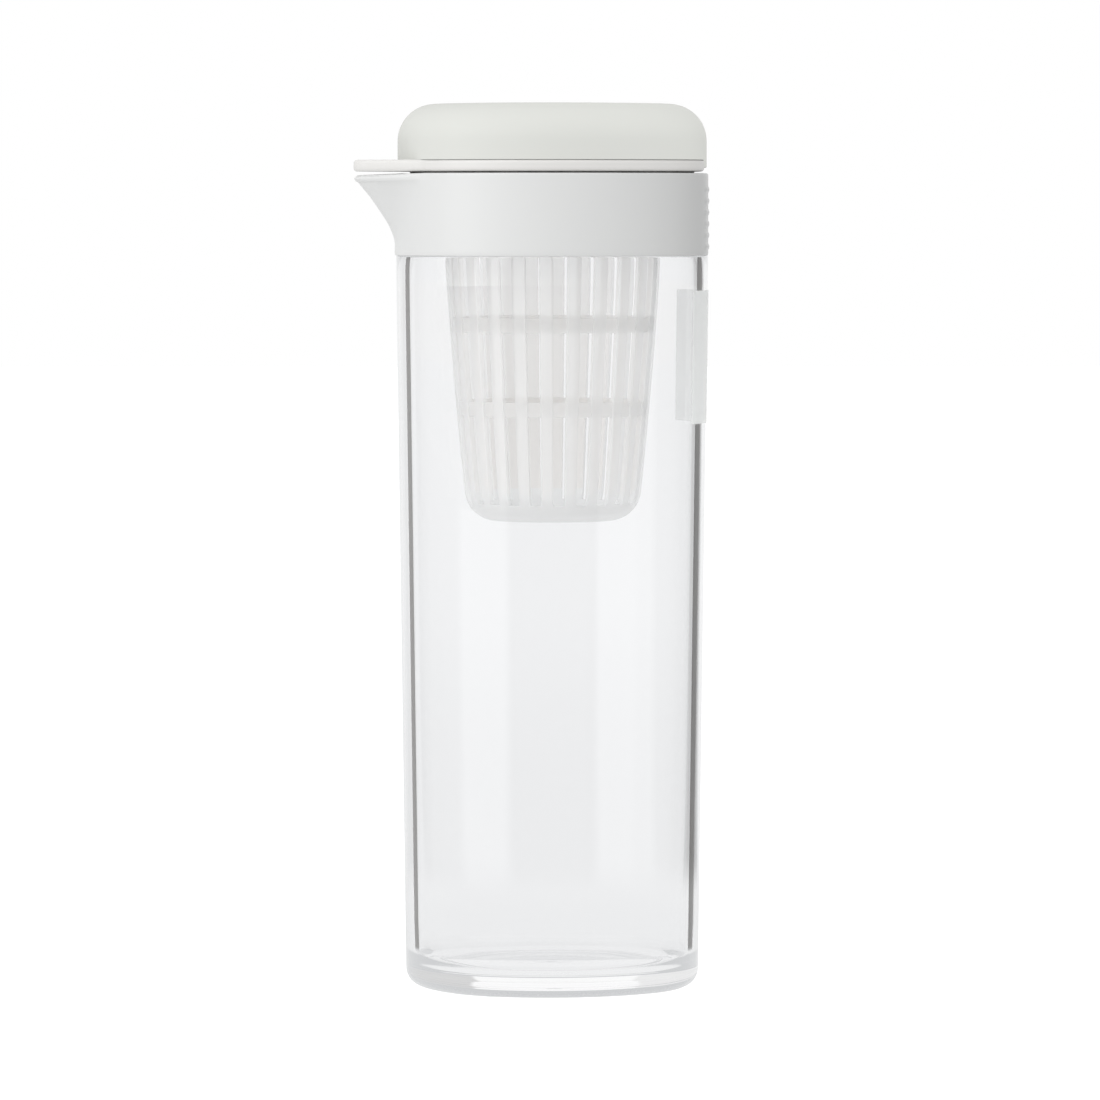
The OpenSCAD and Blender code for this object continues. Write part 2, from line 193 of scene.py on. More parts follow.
def rounded(heights: Span, outer: Span, thick: float, ease: float) -> Section:
    """Closed section of a ring with four rounded edges.

    Args:
        heights: Lower and upper height.
        outer: Outer half width or radius at each.
        thick: Thickness of the ring.
        ease: Rounding of its edges.

    Returns:
        The section, with its first point again at its end.
    """
    (low, high), (out_low, out_high) = heights, outer
    section = arc((out_low - ease, low + ease), ease, -90, 0, EDGE_STEPS)
    section += arc((out_high - ease, high - ease), ease, 0, 90, EDGE_STEPS)
    section += arc((out_high - thick + ease, high - ease), ease, 90, 180, EDGE_STEPS)
    section += arc((out_low - thick + ease, low + ease), ease, 180, 270, EDGE_STEPS)
    return section + section[:1]


@dataclass(frozen=True)
class Plan:
    """Rounded square plan that every piece of the pitcher's outside shares.

    Attributes:
        corner: Radius of the corners, as a share of the half width.
        side: Radius of the bulging sides, as a share of the half width.
    """

    corner: float = 0.68
    side: float = 1.163

    def reach(self, angle: float) -> float:
        """Distance from the axis to a plan of half width one.

        Args:
            angle: Bearing in radians.

        Returns:
            The distance in half widths.
        """
        quarter = math.pi / 2
        turn = abs((angle + quarter / 2) % quarter - quarter / 2)
        back = self.side - 1
        centre = (math.sqrt(2 * (self.side - self.corner) ** 2 - back**2) - back) / 2
        joint = math.atan2(centre, centre + back)
        join_x = self.side * math.cos(joint) - back
        join_y = self.side * math.sin(joint)
        if turn <= math.atan2(join_y, join_x):
            across = back * math.sin(turn)
            return math.sqrt(self.side**2 - across**2) - back * math.cos(turn)
        along = centre * (math.cos(turn) + math.sin(turn))
        return along + math.sqrt(along**2 - 2 * centre**2 + self.corner**2)

    def sized(self, half: float) -> Reach:
        """Reach function of this plan at a half width."""
        return lambda angle: half * self.reach(angle)


def round_plan(radius: float) -> Reach:
    """Reach function of a circle around the axis."""
    return lambda angle: radius


@dataclass(frozen=True)
class Beak:
    """Plan of the spout: two straight sides that end in a round tip.

    Attributes:
        root: Distance of the root from the axis.
        reach: Distance of the tip from the axis.
        half_width: Half the width at the root.
        tip_radius: Radius of the tip.
        spread: Bearing from the tip past which there is no spout, in degrees.
    """

    root: float
    reach: float
    half_width: float
    tip_radius: float
    spread: float = 58.0

    def at(self, angle: float) -> float:
        """Distance from the axis to the beak's outline, or 0 away from it.

        Args:
            angle: Bearing in radians.

        Returns:
            The distance in metres.
        """
        off = abs((angle + math.tau) % math.tau - math.pi)
        if off > math.radians(self.spread):
            return 0.0
        tip = self.reach - self.tip_radius
        run = tip - self.root
        span = math.hypot(run, self.half_width)
        turn = math.pi / 2 - math.atan2(self.half_width, run) + math.asin(self.tip_radius / span)
        touch = (tip + self.tip_radius * math.cos(turn), self.tip_radius * math.sin(turn))
        if off <= math.atan2(touch[1], touch[0]):
            across = tip * math.sin(off)
            return tip * math.cos(off) + math.sqrt(self.tip_radius**2 - across**2)
        normal = (math.cos(turn), math.sin(turn))
        distance = touch[0] * normal[0] + touch[1] * normal[1]
        return distance / (math.cos(off) * normal[0] + math.sin(off) * normal[1])


class Loft:
    """A mesh that is grown ring by ring around the axis."""

    def __init__(self, steps: int = RING_STEPS) -> None:
        """Start an empty mesh.

        Args:
            steps: Number of points in every ring.
        """
        self.steps = steps
        self.bm = bmesh.new()
        self.edges: list[bmesh.types.BMEdge] = []
        self.last: list[bmesh.types.BMVert] = []

    def _angle(self, vert: bmesh.types.BMVert) -> float:
        """Bearing of a vertex, snapped to the ring's own steps."""
        step = math.tau / self.steps
        return round(math.atan2(vert.co.y, vert.co.x) / step) * step

    def ring(self, reach: Reach, height: float | Height) -> None:
        """Add a ring and join it to the last one.

        Args:
            reach: Distance from the axis for a bearing.
            height: Height, or height for a bearing.
        """
        if not self.last:
            made = bmesh.ops.create_circle(self.bm, segments=self.steps, radius=1.0)
            verts = made["verts"]
            edges = list(self.bm.edges)
        else:
            made = bmesh.ops.extrude_edge_only(self.bm, edges=self.edges)
            verts = [g for g in made["geom"] if isinstance(g, bmesh.types.BMVert)]
            fresh = set(verts)
            edges = [
                g
                for g in made["geom"]
                if isinstance(g, bmesh.types.BMEdge) and set(g.verts) <= fresh
            ]
        for vert in verts:
            angle = self._angle(vert)
            far = reach(angle)
            up = height(angle) if callable(height) else height
            vert.co = Vector((far * math.cos(angle), far * math.sin(angle), up))
        self.edges = edges
        self.last = verts

    def sweep(self, plan: Plan, section: Iterable[Point]) -> None:
        """Add a ring of one plan for each half width and height of a section."""
        for half, height in section:
            self.ring(plan.sized(half), height)

    def flat(self, plan: Plan, half: float, shares: Iterable[float], height: float) -> None:
        """Add rings on a flat face, at shares of its half width."""
        self.sweep(plan, [(half * share, height) for share in shares])

    def turn(self, section: Iterable[Point]) -> None:
        """Add a round ring for each radius and height of a section."""
        for radius, height in section:
            self.ring(round_plan(radius), height)

    def pole(self, height: float) -> None:
        """Close the last ring with a point on the axis."""
        self.ring(round_plan(POLE_RADIUS), height)
        bmesh.ops.pointmerge(self.bm, verts=self.last, merge_co=Vector((0, 0, height)))
        self.edges = []

    def open_pole(self, height: float) -> None:
        """Begin at a point on the axis: a tiny first ring, which weld merges to a point."""
        self.ring(round_plan(POLE_RADIUS), height)

    def weld(self) -> None:
        """Merge what lies in one place and turn every face outwards."""
        bmesh.ops.remove_doubles(self.bm, verts=list(self.bm.verts), dist=MERGE_WITHIN)
        bmesh.ops.dissolve_degenerate(self.bm, dist=DEGENERATE, edges=list(self.bm.edges))
        bmesh.ops.recalc_face_normals(self.bm, faces=list(self.bm.faces))

    def faces_where(self, test: Callable[[Vector], bool]) -> list[bmesh.types.BMFace]:
        """Faces whose middle passes a test."""
        return [f for f in self.bm.faces if test(f.calc_center_median())]


def finished(
    bm: bmesh.types.BMesh, name: str, *materials: bpy.types.Material
) -> bpy.types.Object:
    """Make an object of a mesh, smooth but for its sharp edges.

    Args:
        bm: The mesh, which is freed.
        name: Name of the piece.
        *materials: Its materials, in the order of the faces' indices.

    Returns:
        The new object, at the origin.
    """
    for face in bm.faces:
        face.smooth = True
    for edge in bm.edges:
        edge.smooth = edge.is_manifold and edge.calc_face_angle(0.0) < SHARP_EDGE
    mesh = bpy.data.meshes.new(name)
    bm.to_mesh(mesh)
    bm.free()
    made = bpy.data.objects.new(name, mesh)
    bpy.context.scene.collection.objects.link(made)
    for material in materials:
        mesh.materials.append(material)
    return made


def place(piece: bpy.types.Object, body: Body, slot: Slot, *nodes: str) -> None:
    """Put a piece on its body and hide the nodes it stands for.

    Args:
        piece: The finished piece.
        body: The body that it moves with.
        slot: The record's slot that its finish comes from; not used.
        *nodes: The model's nodes that it stands for.
    """
    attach(piece, body.value)
    if nodes:
        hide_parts(*nodes)
    LOG.info("%s: %d faces on %s", piece.name, len(piece.data.polygons), body.value)


class Shader:
    """A material's node tree with short ways to add and link nodes."""

    def __init__(self, name: str) -> None:
        """Start a material with only its output.

        Args:
            name: Name of the material.
        """
        self.material = bpy.data.materials.new(name)
        self.material.use_nodes = True
        self.tree = self.material.node_tree
        self.tree.nodes.clear()
        self.output = self.tree.nodes.new("ShaderNodeOutputMaterial")

    def node(self, kind: str, **values: object) -> bpy.types.Node:
        """Add a node and set its plain sockets or properties.

        Args:
            kind: Blender's name of the node's type.
            **values: Property or socket names, with underscores for spaces.

        Returns:
            The node.
        """
        return add_node(self.tree, kind, **values)

    def link(self, source: Socket, target: Socket) -> None:
        """Link two sockets."""
        self.tree.links.new(source, target)

    def group(self, tree: Tree, **values: object) -> bpy.types.Node:
        """Add a node group with its own input values.

        Args:
            tree: The group's tree.
            values: Its inputs, with _ for a space.

        Returns:
            The node.
        """
        made = self.tree.nodes.new("ShaderNodeGroup")
        made.node_tree = tree
        for key, value in values.items():
            made.inputs[key.replace("_", " ")].default_value = value
        return made

    def principled(self, surface: bpy.types.Node, **values: object) -> bpy.types.Node:
        """Add a Principled node that takes what a surface group puts out.

        Args:
            surface: The group, with Roughness, Normal and perhaps Colour.
            **values: Plain socket values, with underscores for spaces.

        Returns:
            The Principled node.
        """
        made = self.node("ShaderNodeBsdfPrincipled", **values)
        for given, taken in (("Colour", "Base Color"), ("Roughness",) * 2, ("Normal",) * 2):
            if given in surface.outputs:
                self.link(surface.outputs[given], made.inputs[taken])
        return made

    def mix(
        self,
        factor: Socket | float,
        first: Socket,
        second: Socket,
    ) -> Socket:
        """Mix two shaders, as mix_shaders does."""
        return mix_shaders(self.tree, factor, first, second)

    def object_place(self) -> Socket:
        """Place on the piece, in metres from the frame's origin."""
        return self.node("ShaderNodeTexCoord").outputs["Object"]

    def object_axes(self) -> bpy.types.NodeOutputs:
        """The X, Y and Z of a place on the piece."""
        parts = self.node("ShaderNodeSeparateXYZ")
        self.link(self.object_place(), parts.inputs["Vector"])
        return parts.outputs

    def to_lamps(self, path: bpy.types.Node) -> Socket:
        """Mask of the rays that carry light in: to lamps, and from matt surfaces."""
        outputs = path.outputs
        return joined(self.tree, "MAXIMUM", outputs["Is Shadow Ray"], outputs["Is Diffuse Ray"])

    def finish(self, shader: Socket) -> bpy.types.Material:
        """Link the last shader to the output and give the material."""
        self.link(shader, self.output.inputs["Surface"])
        return self.material


def add_node(tree: Tree, kind: str, **values: object) -> bpy.types.Node:
    """Add a node to a tree and set its plain sockets or properties.

    Args:
        tree: The node tree.
        kind: Blender's name of the node's type.
        **values: Property or socket names, with underscores for spaces.

    Returns:
        The node.
    """
    made = tree.nodes.new(kind)
    for key, value in values.items():
        name = key.replace("_", " ")
        if name in made.inputs:
            made.inputs[name].default_value = value
        else:
            setattr(made, key, value)
    return made


def mix_shaders(
    tree: Tree,
    factor: Socket | float,
    first: Socket,
    second: Socket,
) -> Socket:
    """Mix two shaders in a tree.

    Args:
        tree: The node tree.
        factor: Share of the second one, plain or as a socket.
        first: The first shader.
        second: The second shader.

    Returns:
        The mixed shader.
    """
    made = tree.nodes.new("ShaderNodeMixShader")
    if isinstance(factor, Socket):
        tree.links.new(factor, made.inputs["Fac"])
    else:
        made.inputs["Fac"].default_value = factor
    tree.links.new(first, made.inputs[1])
    tree.links.new(second, made.inputs[2])
    return made.outputs["Shader"]


def new_group(
    name: str, inputs: dict[str, tuple[str, object]], outputs: dict[str, str]
) -> Tree:
    """Start a shader node group.

    Args:
        name: Name of the group.
        inputs: Socket name to its type and default value.
        outputs: Socket name to its type.

    Returns:
        The group's tree, with its input and output nodes in place.
    """
    tree = bpy.data.node_groups.new(name, "ShaderNodeTree")
    for label, (kind, default) in inputs.items():
        tree.interface.new_socket(label, in_out="INPUT", socket_type=kind).default_value = default
    for label, kind in outputs.items():
        tree.interface.new_socket(label, in_out="OUTPUT", socket_type=kind)
    tree.nodes.new("NodeGroupInput")
    tree.nodes.new("NodeGroupOutput")
    return tree


def soft_step(
    tree: Tree, source: Socket, edges: Span, ends: Span
) -> bpy.types.Node:
    """Add an eased step of a value between two edges.

    Args:
        tree: The node tree.
        source: The value.
        edges: Values at which the step starts and ends.
        ends: What it gives at them.

    Returns:
        The node, whose To Min and To Max are its ends.
    """
    made = add_node(tree, "ShaderNodeMapRange", interpolation_type="SMOOTHSTEP")
    for label, value in zip(("From Min", "From Max", "To Min", "To Max"), (*edges, *ends)):
        made.inputs[label].default_value = value
    tree.links.new(source, made.inputs["Value"])
    return made


def stepped(
    tree: Tree, source: Socket, edges: Span, ends: Span
) -> Socket:
    """The value of an eased step, as soft_step makes it."""
    return soft_step(tree, source, edges, ends).outputs["Result"]


def joined(
    tree: Tree, kind: str, *sources: Socket
) -> Socket:
    """Join values by one kind of math node, such as a sum or a product.

    Args:
        tree: The node tree.
        kind: Blender's name of the operation.
        *sources: The values, two or more.

    Returns:
        The joined value.
    """
    last = sources[0]
    for source in sources[1:]:
        made = add_node(tree, "ShaderNodeMath", operation=kind)
        tree.links.new(last, made.inputs[0])
        tree.links.new(source, made.inputs[1])
        last = made.outputs["Value"]
    return last


class MouldedGrain:
    """Fine surface of moulded plastic, shared by every opaque finish.

    Its colour is mottled a little, its roughness varies, and a fine grain stands on it.

    Attributes:
        name: Name of the group.
        cloud: Scale, detail and roughness of the mottling.
        grain: Detail and roughness of the grain.
        grain_height: Height of the grain at full strength.
    """

    name = "Moulded grain"
    cloud = {"Scale": 34.0, "Detail": 3.0, "Roughness": 0.55}
    grain = {"Detail": 2.0, "Roughness": 0.6}
    grain_height = 0.04 * MM

    def __init__(self) -> None:
        """Build the group once."""
        tree = new_group(
            self.name,
            {
                "Colour": ("NodeSocketColor", (0.8, 0.8, 0.8, 1)),
                "Mottle": ("NodeSocketFloat", 0.02),
                "Grain Scale": ("NodeSocketFloat", 2500.0),
                "Grain Depth": ("NodeSocketFloat", 0.05),
                "Roughness": ("NodeSocketFloat", 0.4),
                "Spread": ("NodeSocketFloat", 0.05),
            },
            {
                "Colour": "NodeSocketColor",
                "Roughness": "NodeSocketFloat",
                "Normal": "NodeSocketVector",
            },
        )
        asked, given = tree.nodes["Group Input"], tree.nodes["Group Output"]
        link = tree.links.new
        place_of = add_node(tree, "ShaderNodeTexCoord")
        cloud = add_node(tree, "ShaderNodeTexNoise", **self.cloud)
        link(place_of.outputs["Object"], cloud.inputs["Vector"])
        centred = add_node(tree, "ShaderNodeMath", operation="SUBTRACT")
        centred.inputs[1].default_value = 0.5
        link(cloud.outputs["Fac"], centred.inputs[0])
        lighter = add_node(tree, "ShaderNodeMath", operation="MULTIPLY_ADD")
        lighter.inputs[2].default_value = 1.0
        link(centred.outputs["Value"], lighter.inputs[0])
        link(asked.outputs["Mottle"], lighter.inputs[1])
        tint = add_node(tree, "ShaderNodeVectorMath", operation="SCALE")
        link(asked.outputs["Colour"], tint.inputs[0])
        link(lighter.outputs["Value"], tint.inputs["Scale"])
        link(tint.outputs["Vector"], given.inputs["Colour"])
        uneven = add_node(tree, "ShaderNodeMath", operation="MULTIPLY_ADD")
        link(centred.outputs["Value"], uneven.inputs[0])
        link(asked.outputs["Spread"], uneven.inputs[1])
        link(asked.outputs["Roughness"], uneven.inputs[2])
        link(uneven.outputs["Value"], given.inputs["Roughness"])
        grain = add_node(tree, "ShaderNodeTexNoise", **self.grain)
        link(place_of.outputs["Object"], grain.inputs["Vector"])
        link(asked.outputs["Grain Scale"], grain.inputs["Scale"])
        raised = add_node(tree, "ShaderNodeBump", Distance=self.grain_height)
        link(asked.outputs["Grain Depth"], raised.inputs["Strength"])
        link(grain.outputs["Fac"], raised.inputs["Height"])
        link(raised.outputs["Normal"], given.inputs["Normal"])
        self.tree = tree


class MouldFlow:
    """Faint waves and smears of clear moulded plastic.

    Attributes:
        name: Name of the group.
        stretch: Scale of the waves along X, Y and Z.
        wave: Detail and roughness of the waves.
        wave_height: Height of the waves at full strength.
        smear: Scale, detail and roughness of the smears.
        smear_edges: Noise values between which a smear starts.
    """

    name = "Mould flow"
    stretch = (1.0, 1.0, 0.25)
    wave = {"Detail": 1.0, "Roughness": 0.4}
    wave_height = 0.6 * MM
    smear = {"Scale": 46.0, "Detail": 5.0, "Roughness": 0.65}
    smear_edges = (0.52, 0.8)

    def __init__(self) -> None:
        """Build the group once."""
        tree = new_group(
            self.name,
            {
                "Wave Scale": ("NodeSocketFloat", 14.0),
                "Wave Depth": ("NodeSocketFloat", 0.1),
                "Roughness": ("NodeSocketFloat", 0.0),
                "Smear": ("NodeSocketFloat", 0.02),
            },
            {"Roughness": "NodeSocketFloat", "Normal": "NodeSocketVector"},
        )
        asked, given = tree.nodes["Group Input"], tree.nodes["Group Output"]
        link = tree.links.new
        place_of = add_node(tree, "ShaderNodeTexCoord")
        stretch = add_node(tree, "ShaderNodeMapping")
        stretch.inputs["Scale"].default_value = self.stretch
        link(place_of.outputs["Object"], stretch.inputs["Vector"])
        wave = add_node(tree, "ShaderNodeTexNoise", **self.wave)
        link(stretch.outputs["Vector"], wave.inputs["Vector"])
        link(asked.outputs["Wave Scale"], wave.inputs["Scale"])
        raised = add_node(tree, "ShaderNodeBump", Distance=self.wave_height)
        link(asked.outputs["Wave Depth"], raised.inputs["Strength"])
        link(wave.outputs["Fac"], raised.inputs["Height"])
        link(raised.outputs["Normal"], given.inputs["Normal"])
        smear = add_node(tree, "ShaderNodeTexNoise", **self.smear)
        link(place_of.outputs["Object"], smear.inputs["Vector"])
        uneven = add_node(tree, "ShaderNodeMath", operation="MULTIPLY_ADD")
        link(stepped(tree, smear.outputs["Fac"], self.smear_edges, (0.0, 1.0)), uneven.inputs[0])
        link(asked.outputs["Smear"], uneven.inputs[1])
        link(asked.outputs["Roughness"], uneven.inputs[2])
        link(uneven.outputs["Value"], given.inputs["Roughness"])
        self.tree = tree


@dataclass(frozen=True)
class MouldedPlastic:
    """Moulded plastic, opaque or with some light and sight through it.

    Attributes:
        name: Name of the material.
        colour: Base colour, linear.
        roughness: Roughness of the surface.
        mottle: How much the colour varies.
        grain_scale: Fineness of the grain.
        grain_depth: Strength of the grain.
        index: Index of refraction.
        coat: Weight of the thin gloss over it.
        coat_roughness: Roughness of that gloss.
        glow: How much light comes through from behind.
        clearness: Share of what is behind it that shows.
        lamp_clearness: Further share of the light that it lets into its inside.
        heights: Heights between which the colour leaves its painted shade and the piece turns
            clearer, from the lower up.
        top_clearness: Further clearness at the upper height.
        low_painted_shade: Share of the colour at the lower height, a painted shade.
    """

    name: str
    colour: Colour
    roughness: float = 0.4
    mottle: float = 0.02
    grain_scale: float = 2500.0
    grain_depth: float = 0.06
    index: float = 1.49
    coat: float = 0.0
    coat_roughness: float = 0.12
    glow: float = 0.0
    clearness: float = 0.0
    lamp_clearness: float = 0.0
    heights: Span | None = None
    top_clearness: float = 0.0
    low_painted_shade: float = 1.0

    def build(self, grain: MouldedGrain) -> bpy.types.Material:
        """Make the material.

        Args:
            grain: The shared surface group.

        Returns:
            The material.
        """
        shader = Shader(self.name)
        surface = shader.group(
            grain.tree,
            Colour=(*self.colour, 1),
            Mottle=self.mottle,
            Grain_Scale=self.grain_scale,
            Grain_Depth=self.grain_depth,
            Roughness=self.roughness,
        )
        plastic = shader.principled(surface, IOR=self.index)
        plastic.inputs["Coat Weight"].default_value = self.coat
        plastic.inputs["Coat Roughness"].default_value = self.coat_roughness
        if not self.glow:
            return shader.finish(plastic.outputs["BSDF"])
        colour = surface.outputs["Colour"]
        # Painted shade: the colour darkens towards the bottom.
        if self.heights:
            colour = self.shaded(shader, colour)
            shader.link(colour, plastic.inputs["Base Color"])
        through = shader.node("ShaderNodeBsdfTranslucent")
        shader.link(colour, through.inputs["Color"])
        milky = shader.mix(self.glow, plastic.outputs["BSDF"], through.outputs["BSDF"])
        if not self.clearness:
            return shader.finish(milky)
        behind = shader.node("ShaderNodeBsdfTransparent").outputs["BSDF"]
        return shader.finish(shader.mix(self.openness(shader), milky, behind))

    def shaded(self, shader: Shader, colour: Socket) -> Socket:
        """Darken the colour towards the bottom, as painted shade.

        Args:
            shader: The material's node tree.
            colour: The even colour.

        Returns:
            The shaded colour.
        """
        height = shader.object_axes()["Z"]
        shade = stepped(shader.tree, height, self.heights, (self.low_painted_shade, 1.0))
        made = shader.node("ShaderNodeVectorMath", operation="SCALE")
        shader.link(colour, made.inputs[0])
        shader.link(shade, made.inputs["Scale"])
        return made.outputs["Vector"]

    def openness(self, shader: Shader) -> Socket:
        """Share of what is behind that shows, larger for light and towards the top.

        Args:
            shader: The material's node tree.

        Returns:
            The share.
        """
        share = shader.node("ShaderNodeMath", operation="MULTIPLY_ADD")
        share.inputs[1].default_value = self.lamp_clearness
        share.inputs[2].default_value = self.clearness
        if self.heights:
            height = shader.object_axes()["Z"]
            ends = (self.clearness, self.clearness + self.top_clearness)
            shader.link(stepped(shader.tree, height, self.heights, ends), share.inputs[2])
        path = shader.node("ShaderNodeLightPath")
        shader.link(shader.to_lamps(path), share.inputs[0])
        return share.outputs["Value"]


@dataclass(frozen=True)
class PaintedRimShade:
    """Painted dark line where the wall starts to mirror: a painted shade, seen from inside the
    wall.

    It lies at the spout and at the back, a little further out at the back.

    Attributes:
        colour: Colour of the painted dark line.
        roughness: Roughness of the line.
        at_spout: Facing values between which the line lies at the spout.
        at_back: Facing values between which it lies at the back.
        ease: Softness of the line's edges, as a facing value.
        slope: Slope in plan, from the back's middle, up to which the back's line goes.
        slope_ease: Softness of that end.
        foot: Heights between which the line fades in above the floor.
        hidden: Heights between which the label covers the line at the back, on the
            side towards -Y.
        hidden_ease: Softness of the label's ends.
        side_ease: Half the width of the change from the -Y to the +Y side.
        end_ease: Half the width of the change from the spout's line to the back's.
    """

    hidden: Span
    colour: Colour = (0.17, 0.165, 0.16)
    roughness: float = 0.6
    at_spout: Span = (0.2175, 0.2305)
    at_back: Span = (0.2275, 0.2395)
    ease: float = 0.0008
    slope: float = 0.705
    slope_ease: float = 0.3 * MM
    foot: Span = (12.5 * MM, 14.5 * MM)
    hidden_ease: float = 0.5 * MM
    side_ease: float = 1.0 * MM
    end_ease: float = 10.0 * MM

    @staticmethod
    def rising(
        tree: Tree, source: Socket, middle: float, ease: float
    ) -> Socket:
        """A step from 0 to 1 around a value."""
        return stepped(tree, source, (middle - ease, middle + ease), (0.0, 1.0))

    @staticmethod
    def falling(
        tree: Tree, source: Socket, middle: float, ease: float
    ) -> Socket:
        """A step from 1 to 0 around a value."""
        return stepped(tree, source, (middle - ease, middle + ease), (1.0, 0.0))

    def bare(self, tree: Tree, axes: bpy.types.NodeOutputs) -> Socket:
        """Mask of the wall that the label leaves bare.

        Args:
            tree: The node tree.
            axes: X, Y and Z of the place.

        Returns:
            The mask.
        """
        low, high = self.hidden
        under = self.falling(tree, axes["Z"], low, self.hidden_ease)
        over = self.rising(tree, axes["Z"], high, self.hidden_ease)
        beside = self.rising(tree, axes["Y"], 0.0, self.side_ease)
        return joined(tree, "MAXIMUM", under, over, beside)

    def near_back(self, tree: Tree, axes: bpy.types.NodeOutputs) -> Socket:
        """Mask of the wall up to the slope at which the back's line ends.

        Args:
            tree: The node tree.
            axes: X, Y and Z of the place.

        Returns:
            The mask.
        """
        across = add_node(tree, "ShaderNodeMath", operation="ABSOLUTE")
        tree.links.new(axes["Y"], across.inputs[0])
        past = add_node(tree, "ShaderNodeMath", operation="MULTIPLY_ADD")
        past.inputs[1].default_value = -self.slope
        tree.links.new(axes["X"], past.inputs[0])
        tree.links.new(across.outputs["Value"], past.inputs[2])
        return self.falling(tree, past.outputs["Value"], 0.0, self.slope_ease)

    def mask(self, shader: Shader) -> Socket:
        """Mask of both lines.

        Args:
            shader: The material's node tree.

        Returns:
            The mask.
        """
        tree = shader.tree
        axes = shader.object_axes()
        facing = shader.node("ShaderNodeLayerWeight").outputs["Facing"]
        inside = shader.node("ShaderNodeNewGeometry").outputs["Backfacing"]
        foot = stepped(tree, axes["Z"], self.foot, (0.0, 1.0))
        back = joined(tree, "MULTIPLY", foot, self.bare(tree, axes), self.near_back(tree, axes))
        lines = []
        for step, (low, high), shown in (
            (self.falling, self.at_spout, foot),
            (self.rising, self.at_back, back),
        ):
            here = step(tree, axes["X"], 0.0, self.end_ease)
            rise = self.rising(tree, facing, low, self.ease)
            fall = self.falling(tree, facing, high, self.ease)
            lines.append(joined(tree, "MULTIPLY", here, rise, fall, inside, shown))
        return joined(tree, "ADD", *lines)

    def drawn(self, shader: Shader, seen: Socket) -> Socket:
        """Paint the dark line, a painted shade, over a shader.

        Args:
            shader: The material's node tree.
            seen: The shader so far.

        Returns:
            The mixed shader.
        """
        dark = shader.node(
            "ShaderNodeBsdfPrincipled", Base_Color=(*self.colour, 1), Roughness=self.roughness
        )
        return shader.mix(self.mask(shader), seen, dark.outputs["BSDF"])


@dataclass(frozen=True)
class ClearPlastic:
    """Clear moulded plastic that bends light and lets lamps through, with a painted glow on trapped
    rays.

    Attributes:
        name: Name of the material.
        rim: The painted dark line along the bore's edge, a painted shade, or None on the outside.
        tint: Colour of what is seen through it.
        index: Index of refraction.
        lamp_tint: Colour that each surface gives the light that falls through it.
        wave_depth: Strength of the moulding waves.
        trapped_after: Number of reflections after which a ray counts as trapped.
        trapped_glow_colour: Colour of the painted glow, a painted light, that a trapped ray gets.
    """

    name: str
    rim: PaintedRimShade | None = None
    tint: Colour = (0.966, 0.967, 0.97)
    index: float = 1.57
    lamp_tint: Colour = (0.985, 0.985, 0.985)
    wave_depth: float = 0.1
    trapped_after: float = 2.5
    trapped_glow_colour: Colour = (0.61, 0.62, 0.63)

    def build(self, flow: MouldFlow) -> bpy.types.Material:
        """Make the material.

        Args:
            flow: The shared group of waves and smears.

        Returns:
            The material.
        """
        shader = Shader(self.name)
        surface = shader.group(flow.tree, Wave_Depth=self.wave_depth)
        clear = shader.principled(
            surface, Base_Color=(*self.tint, 1), Transmission_Weight=1.0, IOR=self.index
        )
        seen = clear.outputs["BSDF"]
        # Where given, the dark line of painted shade goes over the clear wall.
        if self.rim:
            seen = self.rim.drawn(shader, seen)
        path = shader.node("ShaderNodeLightPath")
        seen = self.paint_trapped_glow(shader, path, seen)
        lamps = shader.node("ShaderNodeBsdfTransparent", Color=(*self.lamp_tint, 1))
        return shader.finish(shader.mix(shader.to_lamps(path), seen, lamps.outputs["BSDF"]))

    def paint_trapped_glow(
        self, shader: Shader, path: bpy.types.Node, seen: Socket
    ) -> Socket:
        """Give rays that are trapped between the surfaces a painted glow: painted light that stands
        in for the pale studio's light.

        Args:
            shader: The material's node tree.
            path: Its Light Path node.
            seen: The shader so far.

        Returns:
            The mixed shader.
        """
        trapped = shader.node("ShaderNodeMath", operation="GREATER_THAN")
        trapped.inputs[1].default_value = self.trapped_after
        shader.link(path.outputs["Glossy Depth"], trapped.inputs[0])
        # A glow that is no lamp: painted light for trapped rays.
        pale = shader.node(
            "ShaderNodeEmission", Color=(*self.trapped_glow_colour, 1), Strength=1.0
        )
        return shader.mix(trapped.outputs["Value"], seen, pale.outputs["Emission"])


@dataclass(frozen=True)
class Film:
    """Thin translucent film, such as a blank label.

    Attributes:
        name: Name of the material.
        colour: Colour of the film.
        clearness: Share of what is behind it that shows.
        glow: How much light comes through from behind.
        roughness: Roughness of the surface.
        grain_depth: Strength of the grain.
        index: Index of refraction.
    """

    name: str
    colour: Colour
    clearness: float = 0.5
    glow: float = 0.5
    roughness: float = 0.3
    grain_depth: float = 0.03
    index: float = 1.45

    def build(self, grain: MouldedGrain) -> bpy.types.Material:
        """Make the material.

        Args:
            grain: The shared surface group.

        Returns:
            The material.
        """
        shader = Shader(self.name)
        surface = shader.group(
            grain.tree,
            Colour=(*self.colour, 1),
            Roughness=self.roughness,
            Grain_Depth=self.grain_depth,
        )
        film = shader.principled(surface, IOR=self.index)
        through = shader.node("ShaderNodeBsdfTranslucent")
        shader.link(surface.outputs["Colour"], through.inputs["Color"])
        milky = shader.mix(self.glow, film.outputs["BSDF"], through.outputs["BSDF"])
        behind = shader.node("ShaderNodeBsdfTransparent")
        return shader.finish(shader.mix(self.clearness, milky, behind.outputs["BSDF"]))


